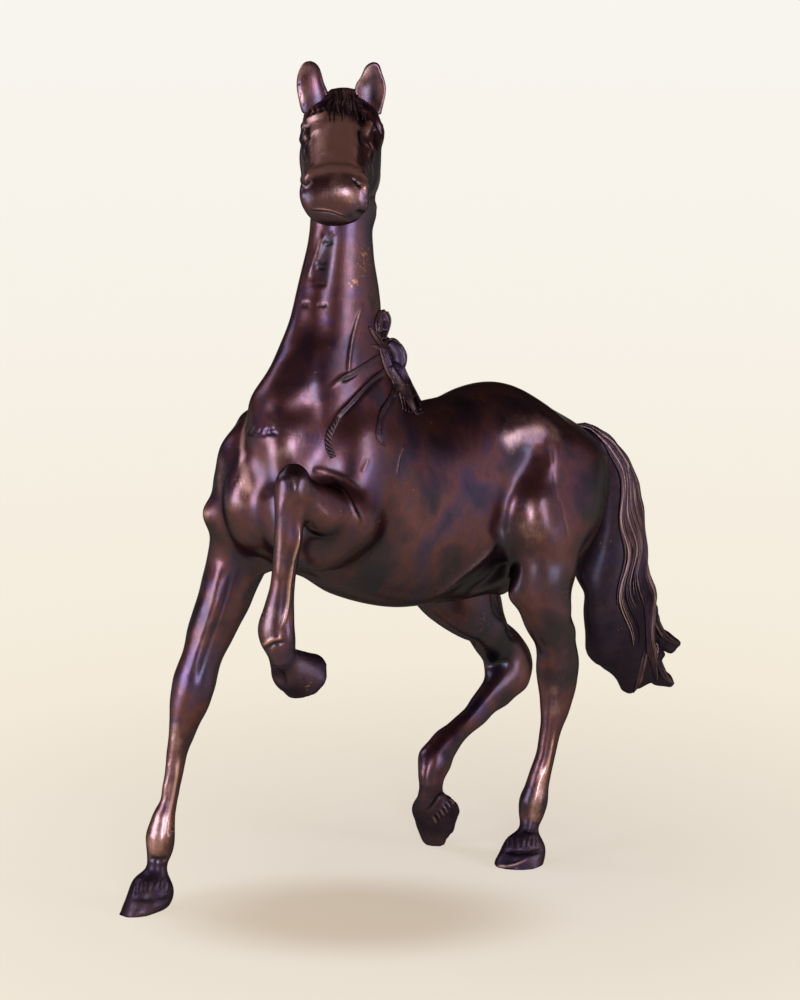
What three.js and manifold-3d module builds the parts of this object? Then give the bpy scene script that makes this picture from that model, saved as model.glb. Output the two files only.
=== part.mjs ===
// A cast brass horse statue, standing free on three hooves with the left foreleg raised.
// Millimetres, +Z up. The horse faces -Y and its left side is +X.
// Hollow shells make the trunk, the neck and the head; legs, hooves and tail are solid castings.
// Every casting is brazed to the next over a dowel or a sleeve, with a thin seam between them.
import * as THREE from 'three'
import { mergeVertices } from 'three/addons/utils/BufferGeometryUtils.js'
import Module from 'manifold-3d'

const wasm = await Module()
wasm.setup()

// Driving dimensions
const legHeight = 236
const chestDepth = 140
const neckHeight = 138
const barrelLength = 200
const quarterLength = 90
const seamGap = 0.3
const wall = 5
const dowelRadius = 2.4
const dowelReach = 11
const hoofDowelRadius = 1.6
const hoofDowelReach = 6.5
const dowelClearance = 0.3
const sleeveWall = 2.2
const sleeveReach = 9
const earHeight = 31
const earWidth = 17
const earThickness = 8
const hoofLength = 38
const hoofWidth = 29

const point = (x, y, z) => new THREE.Vector3(x, y, z)

// The statue is drawn between reference lines: floor, elbow, withers and poll upwards, and elbow,
// hip and dock from front to back. Each stretch between two lines takes its driving dimension,
// so a place keeps its share of the stretch that it lies in.
const levels = [[0, 0], [236, legHeight], [376, chestDepth], [514, neckHeight]]
const stretches = [[-90, -90], [110, barrelLength], [200, quarterLength]]

function carried(value, lines) {
  let drawn = lines[0][0]
  let sized = lines[0][1]
  for (const [line, size] of lines.slice(1)) {
    if (value <= line) {
      return sized + (value - drawn) * (value < drawn ? 1 : size / (line - drawn))
    }
    sized += size
    drawn = line
  }
  return sized + value - drawn
}

const drawnAt = (x, y, z) => point(x, carried(y, stretches), carried(z, levels))

// Where the joints of the skeleton lie
const bones = {
  foreRight: {
    shoulder: drawnAt(-30, -88, 290), elbow: drawnAt(-50, -102, 236), knee: drawnAt(-62, -131, 144),
    fetlock: drawnAt(-72, -155, 45), coronet: drawnAt(-73, -158, 22), sole: drawnAt(-73, -166, 0),
  },
  foreLeftUpper: {
    shoulder: drawnAt(20, -76, 262), elbow: drawnAt(40, -92, 258), forearm: drawnAt(49, -124, 274),
    knee: drawnAt(54, -157, 290), kneecap: drawnAt(54, -165, 292.5),
  },
  foreLeftLower: {
    kneetop: drawnAt(54, -156, 297), knee: drawnAt(54, -158, 288), fetlock: drawnAt(46, -163, 200),
    coronet: drawnAt(43, -155, 181), sole: drawnAt(40, -133, 171),
  },
  hindLeft: {
    hip: drawnAt(22, 112, 276), stifle: drawnAt(42, 88, 222), gaskin: drawnAt(46, 83, 172),
    hock: drawnAt(43, 94, 130), fetlock: drawnAt(39, 78, 40), coronet: drawnAt(39, 73, 20),
    sole: drawnAt(39, 67, 0),
  },
  hindRight: {
    hip: drawnAt(-20, 104, 262), stifle: drawnAt(-34, 66, 196), gaskin: drawnAt(-31, 109, 148),
    hock: drawnAt(-29, 126, 110), fetlock: drawnAt(-24, 45, 63), coronet: drawnAt(-24, 42, 32),
    sole: drawnAt(-28, 55, 19.5),
  },
}
// Smooth values at a fractional place in a list of stations
function between(stations, place) {
  const last = stations.length - 1
  const index = Math.min(Math.floor(place), last - 1)
  const share = place - index
  const four = [index - 1, index, index + 1, index + 2]
    .map((at) => stations[THREE.MathUtils.clamp(at, 0, last)])
  const value = {}
  for (const key of Object.keys(stations[index])) {
    const [before, here, next, after] = four.map((station) => station[key])
    const bend = 2 * here + (next - before) * share
      + (2 * before - 5 * here + 4 * next - after) * share ** 2
      + (3 * here - before - 3 * next + after) * share ** 3
    value[key] = bend / 2
  }
  return value
}

// A closed solid from rings of points, each end closed by a fan
function skin(rings) {
  const around = rings[0].length
  const points = rings.flat()
  const faces = []
  for (let ring = 0; ring < rings.length - 1; ring += 1) {
    for (let step = 0; step < around; step += 1) {
      const a = ring * around + step
      const b = ring * around + (step + 1) % around
      faces.push(a, b, a + around, b, b + around, a + around)
    }
  }
  for (const end of [0, rings.length - 1]) {
    const middle = new THREE.Vector3()
    rings[end].forEach((corner) => middle.addScaledVector(corner, 1 / around))
    points.push(middle)
    for (let step = 0; step < around; step += 1) {
      const a = end * around + step
      const b = end * around + (step + 1) % around
      faces.push(...(end ? [a, b, points.length - 1] : [b, a, points.length - 1]))
    }
  }
  const geometry = new THREE.BufferGeometry().setFromPoints(points)
  geometry.setIndex(faces)
  return solid(geometry)
}

// A closed geometry as a solid that can be cut and joined
function solid(geometry) {
  geometry.deleteAttribute('normal')
  geometry.deleteAttribute('uv')
  const merged = mergeVertices(geometry, 1e-4)
  const places = merged.attributes.position
  const index = Array.from(merged.index.array)
  const corner = (at) => new THREE.Vector3().fromBufferAttribute(places, at)
  let volume = 0
  for (let at = 0; at < index.length; at += 3) {
    const [a, b, c] = index.slice(at, at + 3).map(corner)
    volume += a.dot(b.cross(c))
  }
  if (volume < 0) {
    index.reverse()
  }
  return new wasm.Manifold(new wasm.Mesh({
    numProp: 3,
    vertProperties: new Float32Array(places.array),
    triVerts: new Uint32Array(index),
  }))
}

// The half of space on the side that the normal points to, as a large block
function halfSpace(origin, normal) {
  const size = 900
  const block = new THREE.BoxGeometry(size, size, size)
  block.translate(0, 0, size / 2)
  const turn = new THREE.Quaternion().setFromUnitVectors(point(0, 0, 1), normal.clone().normalize())
  block.applyQuaternion(turn)
  block.translate(origin.x, origin.y, origin.z)
  return solid(block)
}

// The part of a solid on one side of a seam, half a gap back from it
function beyond(body, seam) {
  const normal = seam.normal.clone().normalize()
  const origin = seam.origin.clone().addScaledVector(normal, seamGap / 2)
  return body.intersect(halfSpace(origin, normal))
}

function behind(body, seam) {
  return beyond(body, { origin: seam.origin, normal: seam.normal.clone().negate() })
}

// Trunk and neck: pairs of points on the top line and the bottom line, with half the width.
// The lean carries the upper neck over towards the side that the head is turned to.
const trunkStations = [
  { topY: 167, topZ: 262, lowY: 167, lowZ: 251, side: 5, high: 0.5, crown: 2, keel: 2, lean: 0 },
  { topY: 162, topZ: 273, lowY: 163, lowZ: 238, side: 24, high: 0.5, crown: 2, keel: 2, lean: 0 },
  { topY: 148, topZ: 283, lowY: 149, lowZ: 214, side: 39, high: 0.52, crown: 2, keel: 2, lean: 0 },
  { topY: 122, topZ: 300, lowY: 119, lowZ: 192, side: 47, high: 0.55, crown: 2.1, keel: 2, lean: 0 },
  { topY: 86, topZ: 317, lowY: 84, lowZ: 180, side: 47, high: 0.56, crown: 2.1, keel: 2, lean: 0 },
  { topY: 54, topZ: 318, lowY: 48, lowZ: 178, side: 42, high: 0.5, crown: 2.1, keel: 2, lean: 0 },
  { topY: 26, topZ: 313, lowY: 12, lowZ: 181, side: 42, high: 0.48, crown: 2.1, keel: 2.1, lean: 0 },
  { topY: 4, topZ: 312, lowY: -25, lowZ: 185.5, side: 43, high: 0.48, crown: 2, keel: 2.1, lean: 0 },
  { topY: -12, topZ: 318, lowY: -64, lowZ: 198.5, side: 44, high: 0.48, crown: 1.8, keel: 2.1, lean: 0 },
  { topY: -22, topZ: 328, lowY: -99, lowZ: 217, side: 45, high: 0.5, crown: 1.7, keel: 2.1, lean: 0 },
  { topY: -29, topZ: 342, lowY: -123, lowZ: 242, side: 42, high: 0.54, crown: 1.7, keel: 2.1, lean: 0 },
  { topY: -32, topZ: 358, lowY: -133, lowZ: 271, side: 36, high: 0.54, crown: 1.7, keel: 2, lean: 0 },
  { topY: -34, topZ: 376, lowY: -134, lowZ: 304, side: 30, high: 0.52, crown: 1.7, keel: 2, lean: 0 },
  { topY: -37, topZ: 394, lowY: -121, lowZ: 340, side: 23, high: 0.5, crown: 1.8, keel: 2, lean: 0.5 },
  { topY: -39, topZ: 413, lowY: -103, lowZ: 372, side: 19, high: 0.5, crown: 1.8, keel: 2, lean: 1 },
  { topY: -41, topZ: 435, lowY: -93, lowZ: 402, side: 16.5, high: 0.5, crown: 1.9, keel: 2, lean: 2 },
  { topY: -43, topZ: 457, lowY: -88, lowZ: 430, side: 15.5, high: 0.5, crown: 1.9, keel: 2, lean: 3 },
  { topY: -44.5, topZ: 480, lowY: -86, lowZ: 456, side: 16.5, high: 0.5, crown: 2, keel: 2, lean: 3 },
  { topY: -49, topZ: 498, lowY: -84, lowZ: 476, side: 15, high: 0.5, crown: 2, keel: 2, lean: 3 },
]
const trunkSides = 32
const trunkRingsPerStation = 2
const innerSides = 12

function trunkRing(station, grow, sides) {
  const low = drawnAt(station.lean, station.lowY, station.lowZ)
  const top = drawnAt(station.lean, station.topY, station.topZ)
  const up = top.clone().sub(low)
  const height = up.length()
  up.normalize()
  const centre = low.clone().addScaledVector(up, height * station.high)
  const over = Math.max(height * (1 - station.high) + grow, 1)
  const under = Math.max(height * station.high + grow, 1)
  const across = Math.max(station.side + grow, 1)
  return Array.from({ length: sides }, (unused, step) => {
    const turn = 2 * Math.PI * step / sides
    const rise = Math.cos(turn)
    const reach = Math.sin(turn)
    const power = rise > 0 ? station.crown : station.keel
    const swell = 1 / (Math.abs(rise) ** power + Math.abs(reach) ** power) ** (1 / power)
    return centre.clone()
      .addScaledVector(up, rise * swell * (rise > 0 ? over : under))
      .add(point(reach * swell * across, 0, 0))
  })
}

// A point on the trunk or neck: its station, its turn from the top line in degrees, and its lift
function onTrunk([place, degrees, lift]) {
  const ringTurns = 72
  const station = between(trunkStations, place)
  const step = Math.round(degrees * ringTurns / 360)
  return trunkRing(station, lift, ringTurns)[(step + ringTurns) % ringTurns]
}

function trunkLoft(grow, sides, perStation, from, to) {
  const count = Math.round((to - from) * perStation)
  return skin(Array.from({ length: count + 1 }, (unused, ring) => (
    trunkRing(between(trunkStations, from + ring * (to - from) / count), grow, sides))))
}

// Limbs, locks and tail: a curve through points, with oval sections along it.
// The front of each section is the side nearest to the given facing direction.
function limbLoft(route, sections, facing, sides, grow = 0) {
  return skin(sections.map((section) => {
    const last = route.length - 1
    const place = between(route, section.along)
    const ahead = between(route, Math.min(section.along + 0.05, last))
    const back = between(route, Math.max(section.along - 0.05, 0))
    const centre = point(place.x, place.y, place.z)
    const run = point(ahead.x - back.x, ahead.y - back.y, ahead.z - back.z).normalize()
    const side = run.clone().cross(facing).normalize()
    const front = side.clone().cross(run).normalize()
    return Array.from({ length: sides }, (unused, step) => {
      const turn = 2 * Math.PI * step / sides
      const reach = Math.cos(turn)
      const push = Math.sin(turn)
      return centre.clone()
        .addScaledVector(side, reach * (section.side + grow))
        .addScaledVector(front, push * ((push > 0 ? section.front : section.rear) + grow))
    })
  }))
}

// Each row: place along the joints, half width, depth in front and depth behind
function sectionsFrom(rows, perRow = 1) {
  const rough = rows.map(([along, side, front, rear]) => ({ along, side, front, rear }))
  const count = (rough.length - 1) * perRow
  return Array.from({ length: count + 1 }, (unused, step) => between(rough, step / perRow))
}

const forward = point(0, -1, 0)
const upward = point(0, 0, 1)
const limbSides = 16
const lockSides = 8

function routeOf(joints) {
  return Object.values(joints)
}

const foreRows = [
  [0, 16, 26, 30], [0.4, 19, 27, 28], [0.8, 19, 24, 27], [1, 18.5, 22, 26], [1.25, 17, 18.5, 24],
  [1.5, 15, 17, 19.5], [1.75, 12.5, 14, 15], [1.92, 12.5, 13.6, 13.4], [2, 12.8, 13.8, 13.6],
  [2.12, 11.2, 12, 13], [2.28, 8, 8.6, 10], [2.5, 5.7, 6, 7.2], [2.75, 5.4, 5.6, 7],
  [2.92, 8, 7.4, 9.4], [3, 9, 8.2, 10.6], [3.2, 7.4, 7.2, 9], [3.6, 6.6, 6.6, 7], [4, 7.4, 7.6, 7.6],
  [4.5, 5, 5, 5],
]
const hindRows = [
  [0, 22, 38, 44], [0.5, 23, 42, 44], [0.8, 22, 38, 38], [1, 20, 34, 30], [1.35, 18, 30, 21],
  [1.7, 16, 27, 19], [2, 14.5, 23, 17.5], [2.4, 12, 16, 16.5], [2.8, 11.2, 14.5, 17.5],
  [3, 11, 12.5, 18.5], [3.12, 10, 10.5, 17], [3.3, 8, 8.2, 13.5], [3.6, 6.8, 6.4, 11.2],
  [3.85, 7.6, 8, 9.6], [4, 9, 9, 10.6], [4.25, 7.4, 7.2, 8.8], [4.6, 6.8, 6.6, 7], [5, 7.4, 7.6, 7.6],
  [5.5, 5, 5, 5],
]
const raisedRows = [
  [0, 16, 18, 20], [0.5, 19, 20, 21], [1, 17, 19, 19], [1.5, 14.5, 16, 16.5], [2, 11.5, 12.5, 13.5],
  [2.5, 10, 10.5, 11.5], [3, 11, 11.5, 11.5], [3.6, 10, 10, 10], [4, 5, 5, 5],
]
const hangingRows = [
  [0, 5, 5, 5], [0.4, 9.4, 9.4, 9.4], [1, 10.6, 11, 10.5], [1.15, 9.4, 10, 10.5], [1.35, 8, 8, 9.4],
  [1.65, 7.4, 7.2, 8.6], [1.85, 9.4, 8.6, 10.6], [2, 11, 9.6, 12.4], [2.3, 9, 8.6, 10.4],
  [3, 8.4, 8.4, 8.4], [3.5, 5, 5, 5],
]
const limbs = {
  foreRight: limbLoft(routeOf(bones.foreRight), sectionsFrom(foreRows), forward, limbSides),
  foreLeft: limbLoft(routeOf(bones.foreLeftUpper), sectionsFrom(raisedRows), upward, limbSides)
    .add(limbLoft(routeOf(bones.foreLeftLower), sectionsFrom(hangingRows), forward, limbSides)),
  hindLeft: limbLoft(routeOf(bones.hindLeft), sectionsFrom(hindRows), forward, limbSides),
  hindRight: limbLoft(routeOf(bones.hindRight), sectionsFrom(hindRows), forward, limbSides),
}

// Hooves: rings from the coronet to the sole, long at the toe
const hoofRings = [
  { drop: 0, size: 0.55 }, { drop: 0.12, size: 0.68 }, { drop: 0.35, size: 0.78 },
  { drop: 0.7, size: 0.9 }, { drop: 0.93, size: 1 }, { drop: 1, size: 0.95 },
]
const hoofSides = 18
const toeShare = 0.57

function hoof(coronet, sole, down, pointing) {
  const toe = pointing.clone().addScaledVector(down, -pointing.dot(down)).normalize()
  const across = toe.clone().cross(down).normalize()
  return skin(hoofRings.map((ring) => {
    const centre = coronet.clone().lerp(sole, ring.drop)
    return Array.from({ length: hoofSides }, (unused, step) => {
      const turn = 2 * Math.PI * step / hoofSides
      const reach = Math.cos(turn)
      const push = Math.sin(turn)
      const depth = hoofLength * (push > 0 ? toeShare : 1 - toeShare)
      return centre.clone()
        .addScaledVector(across, reach * hoofWidth / 2 * ring.size)
        .addScaledVector(toe, push * depth * ring.size)
    })
  }))
}

const downward = point(0, 0, -1)
const heading = (turn) => point(Math.sin(turn), -Math.cos(turn), 0)
const hooves = {
  foreRight: hoof(bones.foreRight.coronet, bones.foreRight.sole, downward, heading(0.12)),
  foreLeft: hoof(bones.foreLeftLower.coronet, bones.foreLeftLower.sole,
    point(-0.15, 0.86, -0.5).normalize(), downward),
  hindLeft: hoof(bones.hindLeft.coronet, bones.hindLeft.sole, downward, heading(-0.12)),
  hindRight: hoof(bones.hindRight.coronet, bones.hindRight.sole,
    point(-0.35, 0.93, -0.1).normalize(), downward),
}

// Muscle masses of the shoulders, chest and quarters, as turned ellipsoids
const muscles = [
  { at: drawnAt(-36, -92, 272), size: point(24, 34, 52), tilt: -0.3 },
  { at: drawnAt(-43, -111, 256), size: point(20, 21, 26), tilt: 0 },
  { at: drawnAt(-30, -108, 284), size: point(21, 21, 33), tilt: -0.15 },
  { at: drawnAt(32, -80, 276), size: point(20, 34, 50), tilt: -0.3 },
  { at: drawnAt(14, -120, 262), size: point(18, 20, 30), tilt: 0.1 },
  { at: drawnAt(-16, -122, 264), size: point(18, 20, 32), tilt: 0.1 },
  { at: drawnAt(32, 96, 240), size: point(23, 52, 52), tilt: 0 },
  { at: drawnAt(-32, 92, 236), size: point(23, 50, 54), tilt: 0 },
  { at: drawnAt(44, 66, 236), size: point(13, 18, 24), tilt: 0.2 },
  { at: drawnAt(22, 128, 244), size: point(23, 34, 40), tilt: 0 },
  { at: drawnAt(-22, 128, 244), size: point(23, 34, 40), tilt: 0 },
]

function muscle({ at, size, tilt }, grow) {
  const ball = new THREE.SphereGeometry(1, 14, 9)
  ball.scale(size.x + grow, size.y + grow, size.z + grow)
  ball.rotateX(tilt)
  ball.translate(at.x, at.y, at.z)
  return solid(ball)
}

const neckSeamStation = 12
const headSeamStation = 16
const lastStation = trunkStations.length - 1

function trunkBody(grow) {
  const loft = trunkLoft(grow, trunkSides, trunkRingsPerStation, 0, lastStation)
  return muscles.reduce((body, one) => body.add(muscle(one, grow)), loft)
}

// The seam at a station of the trunk, square to its ring
function stationSeam(place) {
  const station = between(trunkStations, place)
  const low = drawnAt(0, station.lowY, station.lowZ)
  const up = drawnAt(0, station.topY, station.topZ).sub(low)
  return { origin: low, normal: up.cross(point(1, 0, 0)).negate() }
}
const neckSeam = stationSeam(neckSeamStation)
const headSeam = stationSeam(headSeamStation)

// Head: sections along the line from the poll to the muzzle
const poll = drawnAt(-1, -59.5, 513.5)
const headTurn = THREE.MathUtils.degToRad(42)
const headSlope = THREE.MathUtils.degToRad(17)
const headForward = point(Math.sin(headTurn) * Math.cos(headSlope),
  -Math.cos(headTurn) * Math.cos(headSlope), -Math.sin(headSlope))
const headSide = point(Math.cos(headTurn), Math.sin(headTurn), 0)
const headUp = headForward.clone().cross(headSide)
const headStations = [
  { along: -16, top: -14, low: -34, side: 11 },
  { along: -10, top: -4, low: -44, side: 18 },
  { along: 2, top: 0, low: -54, side: 22 },
  { along: 16, top: 2, low: -60, side: 26 },
  { along: 32, top: 3, low: -61, side: 26 },
  { along: 48, top: 2, low: -55, side: 24 },
  { along: 64, top: 0, low: -46, side: 20.5 },
  { along: 82, top: -2, low: -38, side: 17.5 },
  { along: 98, top: -3, low: -37, side: 19.5 },
  { along: 110, top: -4, low: -38, side: 21 },
  { along: 118, top: -7, low: -36, side: 20 },
  { along: 123, top: -14, low: -30, side: 13 },
]
const headSides = 24

function onHead(along, across, up) {
  return poll.clone().addScaledVector(headForward, along).addScaledVector(headSide, across)
    .addScaledVector(headUp, up)
}

function headLoft(grow, sides = headSides, perStation = 2) {
  const count = (headStations.length - 1) * perStation
  return skin(Array.from({ length: count + 1 }, (unused, ring) => {
    const station = between(headStations, ring / perStation)
    const middle = (station.top + station.low) / 2
    const tall = (station.top - station.low) / 2 + grow
    const wide = station.side + grow
    const push = ring === 0 ? -grow : (ring === count ? grow : 0)
    return Array.from({ length: sides }, (unused2, step) => {
      const turn = 2 * Math.PI * step / sides
      const rise = Math.cos(turn)
      const reach = Math.sin(turn)
      const power = rise > 0 ? 2.5 : 2.1
      const swell = 1 / (Math.abs(rise) ** power + Math.abs(reach) ** power) ** (1 / power)
      return onHead(station.along + push, reach * swell * wide, middle + rise * swell * tall)
    })
  }))
}

// Ears: cupped leaves that open forwards
const earBase = { along: 4, across: 16, up: -10 }
const earLean = 0.12
const earRows = [
  { rise: 0, width: 0.55, depth: 0.6 }, { rise: 0.2, width: 0.85, depth: 0.9 },
  { rise: 0.45, width: 1, depth: 1 }, { rise: 0.7, width: 0.85, depth: 0.8 },
  { rise: 0.88, width: 0.5, depth: 0.5 }, { rise: 1, width: 0.12, depth: 0.15 },
]
const earSides = 16
const earCup = 0.25

function ear(hand) {
  return skin(earRows.map((row) => {
    const rise = row.rise * earHeight
    const centre = onHead(earBase.along, hand * (earBase.across + rise * earLean), earBase.up)
      .add(point(0, 0, rise))
    return Array.from({ length: earSides }, (unused, step) => {
      const turn = 2 * Math.PI * step / earSides
      const reach = Math.cos(turn) * row.width * earWidth / 2
      const bulge = Math.sin(turn)
      const depth = row.depth * earThickness * (bulge > 0 ? bulge : bulge * earCup)
      return centre.clone().addScaledVector(headSide, reach)
        .addScaledVector(headForward, -depth + Math.abs(Math.cos(turn)) * row.depth)
    })
  }))
}

// Hair: tapered locks along routes on the surface
function lock(route, sizes, flat, facing = upward) {
  const apart = (route.length - 1) / (sizes.length - 1)
  const rows = sizes.map((size, index) => [index * apart, size, size * flat, size * flat])
  return limbLoft(route, sectionsFrom(rows, 2), facing, lockSides)
}

const foreLocks = [
  [onHead(2, 3, 3), onHead(12, 4, 6), onHead(24, 8, 6), onHead(34, 11, 4)],
  [onHead(2, -2, 3), onHead(12, -1, 6), onHead(24, 3, 7), onHead(36, 5, 4)],
  [onHead(2, -6, 2), onHead(12, -7, 5), onHead(22, -5, 6), onHead(30, -4, 4)],
]

// Each lock's route: station, turn from the top line and lift off the surface
const maneLocks = {
  mane_lock_curl: [[12.2, 20, 2], [11.5, 20, 6], [10.7, 20, 9], [9.8, 25, 9], [9.3, 35, 5],
    [9.4, 50, 2], [9.6, 70, 1], [9.7, 80, 0]],
  mane_lock_withers: [[9.6, 15, 4], [9, 15, 5], [8.2, 20, 3], [7.3, 25, 0]],
  mane_lock_upper: [[11.9, 25, 1], [11.7, 50, 1], [12.1, 85, 1], [12.2, 100, 1], [12.3, 120, 0]],
  mane_lock_lower: [[10.8, 25, 1], [11.1, 55, 1], [11.4, 85, 1], [11.4, 100, 1], [11.2, 110, 1],
    [11.1, 115, 0]],
  mane_right_front: [[17.4, -15, 0], [16.6, -30, 1], [16, -60, 1], [15.4, -85, 0]],
  mane_right_upper: [[15.9, -15, 0], [15.1, -30, 1], [14.4, -60, 1], [13.7, -75, 0]],
  mane_right_middle: [[14.3, -15, 0], [13.5, -25, 1], [12.6, -50, 1], [11.9, -65, 0]],
  mane_right_lower: [[12.6, -15, 0], [11.8, -25, 1], [11, -45, 1], [10.4, -70, 0]],
}
const crestPlaces = [17.6, 16.5, 15, 13.5, 12, 10.5, 9, 7.6]
const crestTurn = -10

// Tail: a broad flattened fall of hair with three tips
const tailRoute = [drawnAt(0, 150, 268), drawnAt(2, 175, 267), drawnAt(6, 194, 254), drawnAt(8, 199, 226),
  drawnAt(8, 201, 196), drawnAt(8, 203, 164), drawnAt(8, 208, 130), drawnAt(8, 220, 102), drawnAt(9, 230, 84)]
const tailRows = [
  [0, 9, 10, 10], [1, 11, 13, 11], [2, 13, 16, 13], [3, 14, 21, 18], [4, 16, 30, 22], [5, 17, 37, 26],
  [6, 17, 35, 27], [7, 14, 24, 23], [8, 8, 9, 12],
]
const tailTips = [
  [drawnAt(8, 234, 128), drawnAt(8, 250, 114), drawnAt(8, 266, 104)],
  [drawnAt(8, 232, 108), drawnAt(9, 248, 90), drawnAt(9, 263, 77)],
  [drawnAt(8, 216, 108), drawnAt(8, 214, 92), drawnAt(8, 215, 80)],
]

// Dowels and sleeves that the castings are brazed over
function dowel(origin, axis, radius, reach) {
  const rod = new THREE.CylinderGeometry(radius, radius, reach * 2, 12)
  rod.applyQuaternion(new THREE.Quaternion().setFromUnitVectors(point(0, 1, 0), axis.clone().normalize()))
  rod.translate(origin.x, origin.y, origin.z)
  return solid(rod)
}

function seamOn(route, along) {
  const place = between(route, along)
  const ahead = between(route, along + 0.05)
  const back = between(route, along - 0.05)
  return {
    origin: point(place.x, place.y, place.z),
    normal: point(ahead.x - back.x, ahead.y - back.y, ahead.z - back.z).normalize(),
  }
}

const limbSeams = {
  foreRight: seamOn(routeOf(bones.foreRight), 1.12),
  foreLeft: seamOn(routeOf(bones.foreLeftUpper), 0.75),
  hindLeft: seamOn(routeOf(bones.hindLeft), 1.45),
  hindRight: seamOn(routeOf(bones.hindRight), 1.45),
}
const tailSeam = { origin: drawnAt(2, 164, 266), normal: point(0.08, 0.95, -0.3).normalize() }
const hoofSeams = {
  foreRight: seamOn(routeOf(bones.foreRight), 3.42),
  foreLeft: seamOn(routeOf(bones.foreLeftLower), 2.42),
  hindLeft: seamOn(routeOf(bones.hindLeft), 4.42),
  hindRight: seamOn(routeOf(bones.hindRight), 4.42),
}

const trunkGrown = trunkBody(seamGap)
const cavity = trunkLoft(-wall, innerSides, 1, 0, lastStation)

// Colours and finishes
const bronze = { color: 0x5a2f22, roughness: 0.38, metalness: 0.9 }
const darkBronze = { color: 0x3b2a2a, roughness: 0.6, metalness: 0.8 }
const bareBrass = { color: 0xb58a4a, roughness: 0.35, metalness: 1 }

const statue = new THREE.Group()

function add(name, body, finish) {
  const mesh = body.getMesh()
  const geometry = new THREE.BufferGeometry()
  geometry.setAttribute('position', new THREE.BufferAttribute(new Float32Array(mesh.vertProperties), 3))
  geometry.setIndex(new THREE.BufferAttribute(new Uint32Array(mesh.triVerts), 1))
  const item = new THREE.Mesh(geometry, new THREE.MeshStandardMaterial(finish))
  item.name = name
  statue.add(item)
}

const limbNames = {
  foreRight: 'fore_right', foreLeft: 'fore_left', hindLeft: 'hind_left', hindRight: 'hind_right',
}
const middle = { origin: point(0, 0, 0), normal: point(1, 0, 0) }
const ground = { origin: point(0, 0, -seamGap / 2), normal: point(0, 0, 1) }

// A fitted rod: its own solid, and the bore that it needs in both castings
function fitted(seam, radius, reach) {
  return {
    rod: dowel(seam.origin, seam.normal, radius, reach),
    bore: dowel(seam.origin, seam.normal, radius + dowelClearance, reach + dowelClearance),
  }
}

// A short tube inside both shells at a seam, following the wall
function sleeve(seam) {
  const shifted = (by) => ({
    origin: seam.origin.clone().addScaledVector(seam.normal.clone().normalize(), by), normal: seam.normal,
  })
  const outer = trunkLoft(-wall - dowelClearance, innerSides, 1, 0, lastStation)
  const inner = trunkLoft(-wall - dowelClearance - sleeveWall, innerSides, 1, 0, lastStation)
  return behind(beyond(outer, shifted(-sleeveReach)), shifted(sleeveReach)).subtract(inner)
}

// The trunk with the upper limbs that are cast on it
const wholeBody = trunkBody(0)
let trunk = behind(wholeBody, neckSeam)
for (const name of Object.keys(limbs)) {
  trunk = trunk.add(behind(limbs[name], limbSeams[name]))
}
trunk = trunk.subtract(cavity)

for (const [name, label] of Object.entries(limbNames)) {
  const legRod = fitted(limbSeams[name], dowelRadius, dowelReach)
  const hoofRod = fitted(hoofSeams[name], hoofDowelRadius, hoofDowelReach)
  const shank = beyond(limbs[name], limbSeams[name]).subtract(trunkGrown)
  const leg = behind(shank, hoofSeams[name]).subtract(legRod.bore).subtract(hoofRod.bore)
  const foot = beyond(beyond(shank, hoofSeams[name]).add(hooves[name]), ground)
  trunk = trunk.subtract(legRod.bore)
  add(`leg_${label}`, leg, bronze)
  add(`hoof_${label}`, foot.subtract(hoofRod.bore), darkBronze)
  add(`leg_dowel_${label}`, legRod.rod, bareBrass)
  add(`hoof_dowel_${label}`, hoofRod.rod, bareBrass)
}

let tail = limbLoft(tailRoute, sectionsFrom(tailRows, 2), forward, limbSides)
for (const tip of tailTips) {
  tail = tail.add(lock(tip, [9, 6, 1.5], 0.9, forward))
}
const tailRod = fitted(tailSeam, dowelRadius, dowelReach)
trunk = trunk.subtract(tailRod.bore)
add('tail', tail.subtract(trunkGrown).subtract(tailRod.bore), darkBronze)
add('tail_dowel', tailRod.rod, bareBrass)
add('trunk_left', beyond(trunk, middle), bronze)
add('trunk_right', behind(trunk, middle), bronze)

const headGrown = headLoft(seamGap)
const neck = beyond(behind(wholeBody, headSeam), neckSeam).subtract(headGrown).subtract(cavity)
add('neck', neck, bronze)
const headCavity = headLoft(-wall, innerSides, 1)
const head = headLoft(0).add(beyond(wholeBody, headSeam)).subtract(headCavity).subtract(cavity)
add('head', head, bronze)
add('neck_sleeve', sleeve(neckSeam), bareBrass)
add('head_sleeve', sleeve(headSeam), bareBrass)

const carrier = headGrown.add(trunkGrown)
add('ear_left', ear(1).subtract(carrier), bronze)
add('ear_right', ear(-1).subtract(carrier), bronze)
const forelock = foreLocks.map((route) => lock(route, [3.5, 4.5, 3.5, 1.2], 0.7))
  .reduce((hair, strand) => hair.add(strand))
add('forelock', forelock.subtract(carrier), darkBronze)

// The mane: each lock lies on the neck and against the locks laid before it
const crestRoute = crestPlaces.map((place) => [place, crestTurn, 0])
const hair = {
  mane_crest: { places: crestRoute, sizes: [2, 3, 3.5, 4, 4.5, 4.5, 4, 1.5], flat: 1, facing: forward },
}
for (const [name, places] of Object.entries(maneLocks)) {
  hair[name] = { places, sizes: [4.5, 5, 4, 1.4], flat: 0.8, facing: upward }
}
let laid = carrier
for (const [name, { places, sizes, flat, facing }] of Object.entries(hair)) {
  const route = places.map(onTrunk)
  add(name, lock(route, sizes, flat, facing).subtract(laid), darkBronze)
  laid = laid.add(lock(route, sizes.map((size) => size + seamGap), flat, facing))
}

// The origin is the middle of the box round the statue, at floor level
const box = new THREE.Box3().setFromObject(statue)
const centre = box.getCenter(point(0, 0, 0))
statue.position.set(-centre.x, -centre.y, -box.min.z)

export default statue
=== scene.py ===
import math

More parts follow.
